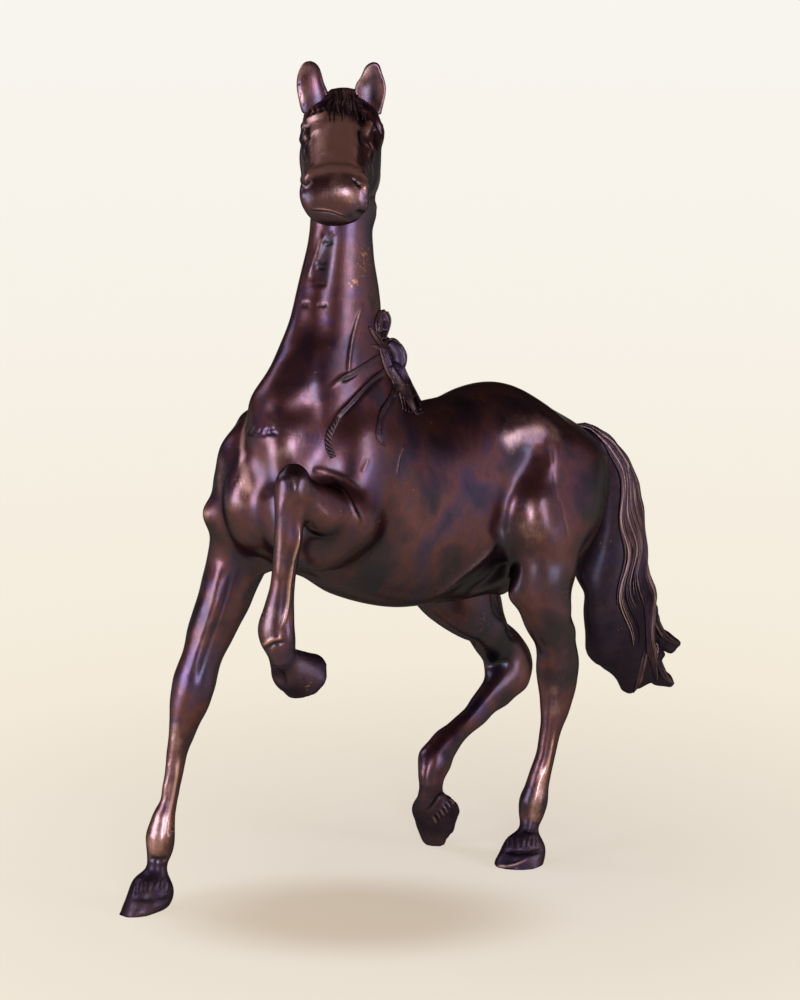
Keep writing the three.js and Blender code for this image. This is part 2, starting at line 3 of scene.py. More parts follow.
import bmesh
import bpy
import numpy as np
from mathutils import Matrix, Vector
from mathutils.bvhtree import BVHTree


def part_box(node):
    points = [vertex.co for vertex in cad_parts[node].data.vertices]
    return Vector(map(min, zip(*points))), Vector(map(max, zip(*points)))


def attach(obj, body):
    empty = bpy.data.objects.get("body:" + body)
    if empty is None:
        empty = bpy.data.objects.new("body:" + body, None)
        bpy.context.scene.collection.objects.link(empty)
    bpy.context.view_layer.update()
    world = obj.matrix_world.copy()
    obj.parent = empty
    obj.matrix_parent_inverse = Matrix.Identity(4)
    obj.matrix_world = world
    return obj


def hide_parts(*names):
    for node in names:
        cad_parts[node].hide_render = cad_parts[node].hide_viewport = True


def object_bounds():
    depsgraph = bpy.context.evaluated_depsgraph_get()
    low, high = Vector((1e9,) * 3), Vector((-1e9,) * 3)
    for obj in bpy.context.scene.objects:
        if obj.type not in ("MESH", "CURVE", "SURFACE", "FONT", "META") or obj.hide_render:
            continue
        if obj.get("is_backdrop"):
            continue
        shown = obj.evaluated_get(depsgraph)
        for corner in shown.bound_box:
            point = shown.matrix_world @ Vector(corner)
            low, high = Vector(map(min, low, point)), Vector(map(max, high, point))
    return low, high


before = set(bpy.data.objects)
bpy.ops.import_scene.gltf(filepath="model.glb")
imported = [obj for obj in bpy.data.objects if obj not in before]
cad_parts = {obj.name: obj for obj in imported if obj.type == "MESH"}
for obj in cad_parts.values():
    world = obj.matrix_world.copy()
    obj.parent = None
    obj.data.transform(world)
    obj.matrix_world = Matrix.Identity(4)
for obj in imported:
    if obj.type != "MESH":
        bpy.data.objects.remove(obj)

cad_low, cad_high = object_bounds()

# Workshop
# All shaping is done in millimetres about the statue's own mid-plane. The row's origin lies
# off that plane, so a point moves by `shift` on its way into Blender's metres.
low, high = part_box("tail_dowel")
TAIL_DOWEL = np.array([2.0, 164.0, 266.0])
shift = (np.array(low) + np.array(high)) * 500 - TAIL_DOWEL
rng = np.random.default_rng(7)
# Sizes of the wax's cells: the big forms, the worked skin, and ears and tail
BLOCK_GRAIN = 2.5
CLAY_GRAIN = 1.0
HAIR_GRAIN = 0.7


def metres(points):
    return (np.asarray(points, float) + shift) / 1000


def millimetres(points):
    return np.asarray(points, float) * 1000 - shift


def unit(v):
    v = np.asarray(v, float)
    return v / np.maximum(np.linalg.norm(v, axis=-1, keepdims=True), 1e-9)


def fades(values, start, end):
    """Eases from 0 at the start to 1 at the end."""
    share = np.clip((np.asarray(values, float) - start) / (end - start), 0, 1)
    return share * share * (3 - 2 * share)


def twin_of(spot, plane):
    """The same spot on the other side of a plane."""
    origin, normal = plane
    return spot - 2 * ((spot - origin) @ normal) * normal


def pick_nothing():
    if bpy.context.object and bpy.context.object.mode != "OBJECT":
        bpy.ops.object.mode_set(mode="OBJECT")
    bpy.ops.object.select_all(action="DESELECT")


def pick(*objects):
    pick_nothing()
    for one in objects:
        one.select_set(True)
    bpy.context.view_layer.objects.active = objects[0]


def between(rows, places):
    """Smooth values at fractional places in a table of rows."""
    rows = np.asarray(rows, float)
    places = np.atleast_1d(np.asarray(places, float))
    index = np.clip(np.floor(places).astype(int), 0, len(rows) - 2)
    share = (places - index)[:, None]
    before, here, after, beyond = (rows[np.clip(index + k, 0, len(rows) - 1)] for k in (-1, 0, 1, 2))
    return 0.5 * (
        2 * here
        + (after - before) * share
        + (2 * before - 5 * here + 4 * after - beyond) * share**2
        + (3 * here - before - 3 * after + beyond) * share**3
    )


# Camera
# The photograph's viewpoint: the horse's left front, a little above the back.
AZIMUTH = math.radians(44)
RISE = math.radians(12)
DISTANCE = 1900
FRAME_WIDTH, FRAME_HEIGHT = 800, 1000
FOCAL_PIXELS = 2945
SENSOR = 36
back_to_eye = np.array([math.sin(AZIMUTH) * math.cos(RISE), -math.cos(AZIMUTH) * math.cos(RISE), math.sin(RISE)])
look_at = np.array([-10.0, 0, 250])
eye = look_at + DISTANCE * back_to_eye
eye_right = np.array([math.cos(AZIMUTH), math.sin(AZIMUTH), 0])
eye_up = np.cross(back_to_eye, eye_right)

bpy.ops.object.select_all(action="DESELECT")
bpy.ops.object.camera_add(location=metres(eye))
camera = bpy.context.object
camera.data.lens = FOCAL_PIXELS * SENSOR / FRAME_HEIGHT
camera.data.sensor_width = SENSOR
camera.rotation_mode = "QUATERNION"
camera.rotation_quaternion = Vector(-back_to_eye).to_track_quat("-Z", "Y")
camera.data.clip_end = 100  # metres: the floor runs to 30
bpy.context.scene.camera = camera


def on_picture(points):
    """Where points land on the picture, and how far away they are."""
    away = np.asarray(points, float) - eye
    depth = -(away @ back_to_eye)
    across = FRAME_WIDTH / 2 + FOCAL_PIXELS * (away @ eye_right) / depth
    down = FRAME_HEIGHT / 2 - FOCAL_PIXELS * (away @ eye_up) / depth
    return np.stack([across, down], -1), depth


# Rough forms
def wrap(name, rings):
    """A closed skin over rings of points."""
    rings = np.asarray(rings, float)
    count, around = rings.shape[:2]
    points = np.concatenate([rings.reshape(-1, 3), [rings[0].mean(0), rings[-1].mean(0)]])
    faces = []
    for ring in range(count - 1):
        for step in range(around):
            a = ring * around + step
            b = ring * around + (step + 1) % around
            faces.append((a, b, b + around, a + around))
    last = (count - 1) * around
    for step in range(around):
        b = (step + 1) % around
        faces.append((b, step, count * around))
        faces.append((last + step, last + b, count * around + 1))
    mesh = bpy.data.meshes.new(name)
    mesh.from_pydata(metres(points).tolist(), [], faces)
    form = bpy.data.objects.new(name, mesh)
    bpy.context.collection.objects.link(form)
    pick(form)
    bpy.ops.object.mode_set(mode="EDIT")
    bpy.ops.mesh.select_all(action="SELECT")
    bpy.ops.mesh.normals_make_consistent(inside=False)
    bpy.ops.object.mode_set(mode="OBJECT")
    return form


# Trunk and neck stations: top line Y Z, bottom line Y Z, half width, height of the widest place,
# fullness above and below it, and sideways lean
TRUNK = [
    (167, 262, 167, 251, 5, 0.5, 2, 2, 0),
    (162, 273, 163, 238, 24, 0.5, 2, 2, 0),
    (148, 283, 149, 214, 39, 0.52, 2, 2, 0),
    (122, 300, 119, 192, 47, 0.55, 2.1, 2, 0),
    (86, 317, 84, 180, 47, 0.56, 2.1, 2, 0),
    (54, 318, 48, 178, 42, 0.5, 2.1, 2, 0),
    (26, 313, 12, 181, 42, 0.48, 2.1, 2.1, 0),
    (4, 312, -25, 185.5, 43, 0.48, 2, 2.1, 0),
    (-12, 318, -64, 198.5, 44, 0.48, 1.8, 2.1, 0),
    (-22, 328, -99, 217, 45, 0.5, 1.7, 2.1, 0),
    (-29, 342, -123, 242, 42, 0.54, 1.7, 2.1, 0),
    (-32, 358, -133, 271, 36, 0.54, 1.7, 2, 0),
    (-34, 376, -134, 304, 30, 0.52, 1.7, 2, 0),
    (-37, 394, -121, 340, 23, 0.5, 1.8, 2, 0.5),
    (-39, 413, -103, 372, 19, 0.5, 1.8, 2, 1),
    (-41, 435, -93, 402, 16.5, 0.5, 1.9, 2, 2),
    (-43, 457, -88, 430, 15.5, 0.5, 1.9, 2, 3),
    (-44.5, 480, -86, 456, 16.5, 0.5, 2, 2, 3),
    (-49, 498, -84, 476, 15, 0.5, 2, 2, 3),
]


def trunk_rings(places, sides, lift=0.0):
    rows = between(TRUNK, places)
    turn = 2 * np.pi * np.arange(sides) / sides
    rise, reach = np.cos(turn), np.sin(turn)
    rings = []
    for top_y, top_z, low_y, low_z, side, high_share, crown, keel, lean in rows:
        bottom = np.array([lean, low_y, low_z])
        top = np.array([lean, top_y, top_z])
        up = top - bottom
        height = np.linalg.norm(up)
        up = up / height
        centre = bottom + up * height * high_share
        power = np.where(rise > 0, crown, keel)
        swell = 1 / (np.abs(rise) ** power + np.abs(reach) ** power) ** (1 / power)
        tall = np.where(rise > 0, height * (1 - high_share) + lift, height * high_share + lift)
        ring = centre + np.outer(rise * swell * tall, up)
        ring[:, 0] += reach * swell * (side + lift)
        rings.append(ring)
    return np.array(rings)


def on_trunk(place, degrees, lift=0.0):
    """A point on the trunk or neck: its station, its turn from the top line, its lift off the skin."""
    return trunk_rings([place], 360, lift)[0][int(round(degrees)) % 360]


def limb_rings(route, rows, facing, sides, per_row):
    """Oval rings along a curve. Rows: place, half width, depth in front, depth behind."""
    rows = between(rows, np.linspace(0, len(rows) - 1, (len(rows) - 1) * per_row + 1))
    turn = 2 * np.pi * np.arange(sides) / sides
    reach, push = np.cos(turn), np.sin(turn)
    rings = []
    for along, side_size, front_size, rear_size in rows:
        centre = between(route, along)[0]
        ahead = between(route, min(along + 0.05, len(route) - 1))[0]
        behind = between(route, max(along - 0.05, 0))[0]
        run = unit(ahead - behind)
        side = unit(np.cross(run, facing))
        front = unit(np.cross(side, run))
        depth = np.where(push > 0, front_size, rear_size)
        rings.append(centre + np.outer(reach * side_size, side) + np.outer(push * depth, front))
    return np.array(rings)


FORWARD = np.array([0.0, -1, 0])
UPWARD = np.array([0.0, 0, 1])
DOWNWARD = -UPWARD
FORE_RIGHT = [(-30, -88, 290), (-50, -102, 236), (-62, -131, 144), (-72, -155, 45), (-73, -158, 22), (-73, -166, 0)]
FORE_LEFT_UPPER = [(20, -76, 262), (40, -92, 258), (49, -124, 274), (54, -157, 290), (54, -165, 292.5)]
FORE_LEFT_LOWER = [(54, -156, 297), (54, -158, 288), (46, -163, 200), (43, -155, 181), (40, -133, 171)]
HIND_LEFT = [(22, 112, 276), (42, 88, 222), (46, 83, 172), (43, 94, 130), (39, 78, 40), (39, 73, 20), (39, 67, 0)]
HIND_RIGHT = [(-20, 104, 262), (-34, 66, 196), (-31, 109, 148), (-29, 126, 110), (-24, 45, 63), (-24, 42, 32),
              (-28, 55, 19.5)]
FORE_ROWS = [
    (0, 16, 26, 30), (0.4, 19, 27, 28), (0.8, 19, 24, 27), (1, 18.5, 22, 26), (1.25, 17, 18.5, 24),
    (1.5, 15, 17, 19.5), (1.75, 12.5, 14, 15), (1.92, 12.5, 13.6, 13.4), (2, 12.8, 13.8, 13.6),
    (2.12, 11.2, 12, 13), (2.28, 8, 8.6, 10), (2.5, 5.7, 6, 7.2), (2.75, 5.4, 5.6, 7), (2.92, 8, 7.4, 9.4),
    (3, 9, 8.2, 10.6), (3.2, 7.4, 7.2, 9), (3.6, 6.6, 6.6, 7), (4, 7.4, 7.6, 7.6), (4.5, 5, 5, 5),
]
HIND_ROWS = [
    (0, 22, 38, 44), (0.5, 23, 42, 44), (0.8, 22, 38, 38), (1, 20, 34, 30), (1.35, 18, 30, 21),
    (1.7, 16, 27, 19), (2, 14.5, 23, 17.5), (2.4, 12, 16, 16.5), (2.8, 11.2, 14.5, 17.5), (3, 11, 12.5, 18.5),
    (3.12, 10, 10.5, 17), (3.3, 8, 8.2, 13.5), (3.6, 6.8, 6.4, 11.2), (3.85, 7.6, 8, 9.6), (4, 9, 9, 10.6),
    (4.25, 7.4, 7.2, 8.8), (4.6, 6.8, 6.6, 7), (5, 7.4, 7.6, 7.6), (5.5, 5, 5, 5),
]
RAISED_ROWS = [
    (0, 16, 18, 20), (0.5, 19, 20, 21), (1, 17, 19, 19), (1.5, 14.5, 16, 16.5), (2, 11.5, 12.5, 13.5),
    (2.5, 10, 10.5, 11.5), (3, 11, 11.5, 11.5), (3.6, 10, 10, 10), (4, 5, 5, 5),
]
HANGING_ROWS = [
    (0, 5, 5, 5), (0.4, 9.4, 9.4, 9.4), (1, 10.6, 11, 10.5), (1.15, 9.4, 10, 10.5), (1.35, 8, 8, 9.4),
    (1.65, 7.4, 7.2, 8.6), (1.85, 9.4, 8.6, 10.6), (2, 11, 9.6, 12.4), (2.3, 9, 8.6, 10.4), (3, 8.4, 8.4, 8.4),
    (3.5, 5, 5, 5),
]

# Hoof rings: drop from the coronet to the sole, and size
HOOF_ROWS = [(0, 0.55), (0.12, 0.68), (0.35, 0.78), (0.7, 0.9), (0.93, 1), (1, 0.95)]
HOOF_LENGTH = 38
HOOF_WIDTH = 29
TOE_SHARE = 0.57


def hoof_rings(coronet, sole, down, pointing, sides=56):
    coronet, sole = np.array(coronet, float), np.array(sole, float)
    toe = unit(np.asarray(pointing) - down * np.dot(pointing, down))
    across = np.cross(toe, down)
    turn = 2 * np.pi * np.arange(sides) / sides
    reach, push = np.cos(turn), np.sin(turn)
    rings = []
    for drop, size in between(HOOF_ROWS, np.linspace(0, len(HOOF_ROWS) - 1, 26)):
        depth = HOOF_LENGTH * np.where(push > 0, TOE_SHARE, 1 - TOE_SHARE)
        centre = coronet + (sole - coronet) * drop
        rings.append(centre + np.outer(reach * HOOF_WIDTH / 2 * size, across) + np.outer(push * depth * size, toe))
    return np.array(rings)


def heading(turn):
    return np.array([math.sin(turn), -math.cos(turn), 0])


# Head: a line from the poll down the face. Sections: place on the line, top, bottom, half width
POLL = np.array([-1, -59.5, 513.5])
HEAD_TURN = math.radians(42)
HEAD_SLOPE = math.radians(17)
head_ahead = np.array([math.sin(HEAD_TURN) * math.cos(HEAD_SLOPE), -math.cos(HEAD_TURN) * math.cos(HEAD_SLOPE),
                       -math.sin(HEAD_SLOPE)])
head_side = np.array([math.cos(HEAD_TURN), math.sin(HEAD_TURN), 0])
head_up = np.cross(head_ahead, head_side)
HEAD = [
    (-16, -14, -34, 11), (-10, -4, -44, 18), (2, 0, -54, 22), (16, 2, -60, 26), (32, 3, -61, 26), (48, 2, -55, 24),
    (64, 0, -46, 20.5), (82, -2, -38, 17.5), (98, -3, -37, 19.5), (110, -4, -38, 21), (118, -7, -36, 20),
    (123, -14, -30, 13),
]


MIDDLE = (np.zeros(3), np.array([1.0, 0, 0]))
FACE = (POLL, head_side)


def on_head(along, across, up):
    return POLL + head_ahead * along + head_side * across + head_up * up


def head_rings(sides=72):
    turn = 2 * np.pi * np.arange(sides) / sides
    rise, reach = np.cos(turn), np.sin(turn)
    rings = []
    for along, top, bottom, side in between(HEAD, np.linspace(0, len(HEAD) - 1, 67)):
        power = np.where(rise > 0, 2.5, 2.1)
        swell = 1 / (np.abs(rise) ** power + np.abs(reach) ** power) ** (1 / power)
        rings.append([
            on_head(along, across, up)
            for across, up in zip(reach * swell * side, (top + bottom) / 2 + rise * swell * (top - bottom) / 2)
        ])
    return np.array(rings)


# Muscle masses: centre, half sizes, tilt about the sideways axis
MUSCLES = [
    ((-36, -92, 272), (24, 34, 52), -0.3), ((-43, -111, 256), (20, 21, 26), 0),
    ((-30, -108, 284), (21, 21, 33), -0.15), ((28, -82, 278), (20, 34, 50), -0.3),
    ((14, -120, 262), (18, 20, 30), 0.1), ((-16, -122, 264), (18, 20, 32), 0.1),
    ((32, 96, 240), (23, 52, 52), 0), ((-32, 92, 236), (23, 50, 54), 0),
    ((44, 66, 236), (13, 18, 24), 0.2), ((22, 128, 244), (23, 34, 40), 0), ((-22, 128, 244), (23, 34, 40), 0),
    ((32, -112, 252), (17, 26, 25), 0),
]


def ball(name, centre, size, tilt=0.0, turn=0.0):
    pick_nothing()
    bpy.ops.mesh.primitive_uv_sphere_add(segments=48, ring_count=24, radius=0.001, location=metres(centre),
                                         rotation=(tilt, 0, turn))
    form = bpy.context.object
    form.name = name
    form.scale = size
    bpy.ops.object.transform_apply(location=True, rotation=True, scale=True)
    return form


rough = {
    "body": wrap("rough_body", trunk_rings(np.linspace(0, 18, 145), 112)),
    "head": wrap("rough_head", head_rings()),
    "fore_right": wrap("rough_fore_right", limb_rings(FORE_RIGHT, FORE_ROWS, FORWARD, 40, 5)),
    "fore_left_upper": wrap("rough_fore_left_upper", limb_rings(FORE_LEFT_UPPER, RAISED_ROWS, UPWARD, 40, 5)),
    "fore_left": wrap("rough_fore_left", limb_rings(FORE_LEFT_LOWER, HANGING_ROWS, FORWARD, 40, 6)),
    "hind_left": wrap("rough_hind_left", limb_rings(HIND_LEFT, HIND_ROWS, FORWARD, 40, 5)),
    "hind_right": wrap("rough_hind_right", limb_rings(HIND_RIGHT, HIND_ROWS, FORWARD, 40, 5)),
    "hoof_fore_right": wrap("rough_hoof_fore_right",
                            hoof_rings(FORE_RIGHT[4], FORE_RIGHT[5], DOWNWARD, heading(0.12))),
    "hoof_fore_left": wrap("rough_hoof_fore_left",
                           hoof_rings(FORE_LEFT_LOWER[3], FORE_LEFT_LOWER[4], unit((-0.15, 0.86, -0.5)), DOWNWARD)),
    "hoof_hind_left": wrap("rough_hoof_hind_left",
                           hoof_rings(HIND_LEFT[5], HIND_LEFT[6], DOWNWARD, heading(-0.12))),
    "hoof_hind_right": wrap("rough_hoof_hind_right",
                            hoof_rings(HIND_RIGHT[5], HIND_RIGHT[6], unit((-0.35, 0.93, -0.1)), DOWNWARD)),
}
for index, (centre, size, tilt) in enumerate(MUSCLES):
    rough[f"muscle_{index}"] = ball(f"rough_muscle_{index}", centre, size, tilt)


def tree_of(form):
    """A search tree over a rough form, in millimetres."""
    mesh = form.data
    points = np.empty(len(mesh.vertices) * 3)
    mesh.vertices.foreach_get("co", points)
    faces = [tuple(face.vertices) for face in mesh.polygons]
    return BVHTree.FromPolygons(millimetres(points.reshape(-1, 3)).tolist(), faces)


trees = {name: tree_of(form) for name, form in rough.items()}


# The wax
class Wax:
    """The horse as one lump of wax, worked by hand before it is cut into castings."""

    def __init__(self, form):
        self.form = form
        mesh = form.data
        self.count = len(mesh.vertices)
        flat = np.empty(self.count * 3)
        mesh.vertices.foreach_get("co", flat)
        self.points = millimetres(flat.reshape(-1, 3))
        edges = np.empty(len(mesh.edges) * 2, int)
        mesh.edges.foreach_get("vertices", edges)
        self.edges = edges.reshape(-1, 2)
        self.links = np.bincount(self.edges.ravel(), minlength=self.count)
        self.rub = np.zeros(self.count)
        self.grime = np.zeros(self.count)
        self.settle()

    def settle(self):
        """Puts the points back into the mesh and takes its normals."""
        mesh = self.form.data
        mesh.vertices.foreach_set("co", metres(self.points).ravel())
        mesh.update()
        flat = np.empty(self.count * 3)
        mesh.vertices.foreach_get("normal", flat)
        self.normals = flat.reshape(-1, 3)
        self.picture, self.depth = on_picture(self.points)

    def averaged(self, values):
        total = np.zeros_like(values)
        a, b = self.edges.T
        for axis in range(values.shape[1]):
            column = values[:, axis]
            total[:, axis] = np.bincount(a, column[b], self.count) + np.bincount(b, column[a], self.count)
        return total / np.maximum(self.links, 1)[:, None]

    def smooth(self, rounds, share=1.0, hold=0.0):
        """Evens the wax. A hold near 1 gives back most of what thin places would lose."""
        share = np.broadcast_to(share, self.count)[:, None]
        for _ in range(rounds):
            self.points += 0.5 * share * (self.averaged(self.points) - self.points)
            if hold:
                self.points -= 0.5 * hold * share * (self.averaged(self.points) - self.points)
        self.settle()

    def touch(self, u, v):
        """The vertex that the camera sees at a place in the picture."""
        apart = ((self.picture - (u, v)) ** 2).sum(1)
        near = np.flatnonzero(apart < max(9.0, apart.min() + 4))
        front = near[self.depth[near] < self.depth[near].min() + 5]
        return front[np.argmin(apart[front])]

    def place(self, spot):
        """A spot is a pair of picture coordinates, or three coordinates in millimetres."""
        if len(spot) == 2:
            at = self.touch(*spot)
        else:
            at = np.argmin(((self.points - spot) ** 2).sum(1))
        return self.points[at].copy(), self.normals[at].copy()

    def reach(self, spots, width, taper):
        """Vertices near a line of spots, with how strongly each is reached."""
        line = np.array([point for point, _ in spots])
        facing = np.array([normal for _, normal in spots])
        if len(spots) > 1:
            span = np.linalg.norm(np.diff(line, axis=0), axis=1).sum()
            steps = np.linspace(0, len(line) - 1, max(int(span / (0.35 * width)), 6))
            line, facing = between(line, steps), unit(between(facing, steps))
        # Beyond three widths nothing would be felt
        inside = np.all((self.points > line.min(0) - 3 * width) & (self.points < line.max(0) + 3 * width), axis=1)
        chosen = np.flatnonzero(inside)
        best = np.full(len(chosen), 1e9)
        which = np.zeros(len(chosen), int)
        for step in range(len(line)):
            apart = ((self.points[chosen] - line[step]) ** 2).sum(1)
            closer = apart < best
            best[closer] = apart[closer]
            which[closer] = step
        strength = np.exp(-best / width**2)
        if len(spots) > 1 and taper:
            strength *= fades(np.minimum(which, len(line) - 1 - which) / (len(line) - 1), 0, taper)
        # Skin that faces another way, such as the far side of an ear, isn't touched
        agree = (self.normals[chosen] * facing[which]).sum(1)
        return chosen, strength * np.clip((agree - 0.15) / 0.35, 0, 1)

    def stroke(self, path, width, height, rub=0.0, grime=0.0, taper=0.2, twin=None):
        """A ridge along a path, or a groove where the height is negative, and the same across a plane."""
        spots = [self.place(spot) for spot in path]
        lines = [spots]
        if twin:
            lines.append([self.place(tuple(twin_of(point, twin))) for point, _ in spots])
        for line in lines:
            chosen, strength = self.reach(line, width, taper)
            self.points[chosen] += self.normals[chosen] * (height * strength)[:, None]
            self.rub[chosen] += rub * strength
            self.grime[chosen] += grime * strength

    def swell(self, spot, width, height, rub=0.0, grime=0.0, twin=None):
        self.stroke([spot], width, height, rub, grime, twin=twin)

    def tint(self, path, width, rub=0.0, grime=0.0, twin=None):
        self.stroke(path, width, 0.0, rub, grime, 0, twin)

    def weather(self, rounds, brightening, darkening):
        """Rubs what stands proud of its surroundings and darkens what lies below them."""
        self.settle()
        around = self.points
        for _ in range(rounds):
            around = around + 0.5 * (self.averaged(around) - around)
        proud = ((self.points - around) * self.normals).sum(1)
        proud = self.averaged(proud[:, None])[:, 0]
        self.rub += np.clip(proud * brightening, 0, 0.8)
        self.grime += np.clip(-proud * darkening, 0, 1)

    def mark(self):
        """Keeps the wear, the dark patina and the painted highlights and shade on the mesh for the finish to read."""
        self.settle()
        for name, values in (("rub", self.rub), ("grime", self.grime)):
            field = self.form.data.attributes.new(name, "FLOAT", "POINT")
            field.data.foreach_set("value", np.clip(values, 0, 1.5).astype(np.float32))

    def pull(self, spot, move, width):
        """Draws the wax near a spot along a move in millimetres."""
        centre, _ = self.place(spot)
        apart = ((self.points - centre) ** 2).sum(1)
        strength = np.exp(-apart / width**2) * (apart < (2.6 * width) ** 2)
        self.points += np.asarray(move, float) * strength[:, None]

    def nudge(self, spot, across, down, width):
        """Draws the outline near a place in the picture by so many pixels."""
        at = np.argmin(((self.picture - spot) ** 2).sum(1))
        pixel = self.depth[at] / FOCAL_PIXELS
        self.pull(tuple(self.points[at]), (eye_right * across - eye_up * down) * pixel, width)

    def draw_out(self, moves):
        """Nudges many places: where in the picture, how far it moves in pixels, and the reach in millimetres."""
        for u, v, across, down, width in moves:
            self.nudge((u, v), across, down, width)
        self.settle()

    def soften(self, spot, width, rounds):
        centre, _ = self.place(spot)
        apart = ((self.points - centre) ** 2).sum(1)
        self.smooth(rounds, np.exp(-apart / width**2))


def face_centres(mesh):
    flat = np.empty(len(mesh.polygons) * 3)
    mesh.polygons.foreach_get("center", flat)
    return millimetres(flat.reshape(-1, 3))


def on_head_at(spots):
    """Which spots lie on the head, in front of the throat."""
    away = spots - POLL
    return (away @ head_ahead > -4) & (spots[:, 2] > 440) & (away @ head_up > -60)


def fuse(forms, grain, name):
    """Joins closed forms into one even skin."""
    pick(*forms)
    bpy.ops.object.join()
    whole = bpy.context.object
    whole.name = name
    fusing = whole.modifiers.new("Fuse", "REMESH")
    fusing.mode = "VOXEL"
    fusing.voxel_size = grain / 1000
    bpy.ops.object.modifier_apply(modifier="Fuse")
    return whole


# Big forms, in coarse wax: the trunk's muscles run into each other, the limbs and head keep their edges
block = Wax(fuse(list(rough.values()), BLOCK_GRAIN, "block"))
x, y, z = block.points.T
forearm = fades(x, 18, 34) * fades(y, -128, -142)
trunk_share = fades(z, 195, 232) * fades(z, 430, 330) * (1 - forearm)
block.smooth(5, hold=0.4)
block.smooth(30, trunk_share)
block.points += block.normals * (1.4 * trunk_share)[:, None]
block.settle()
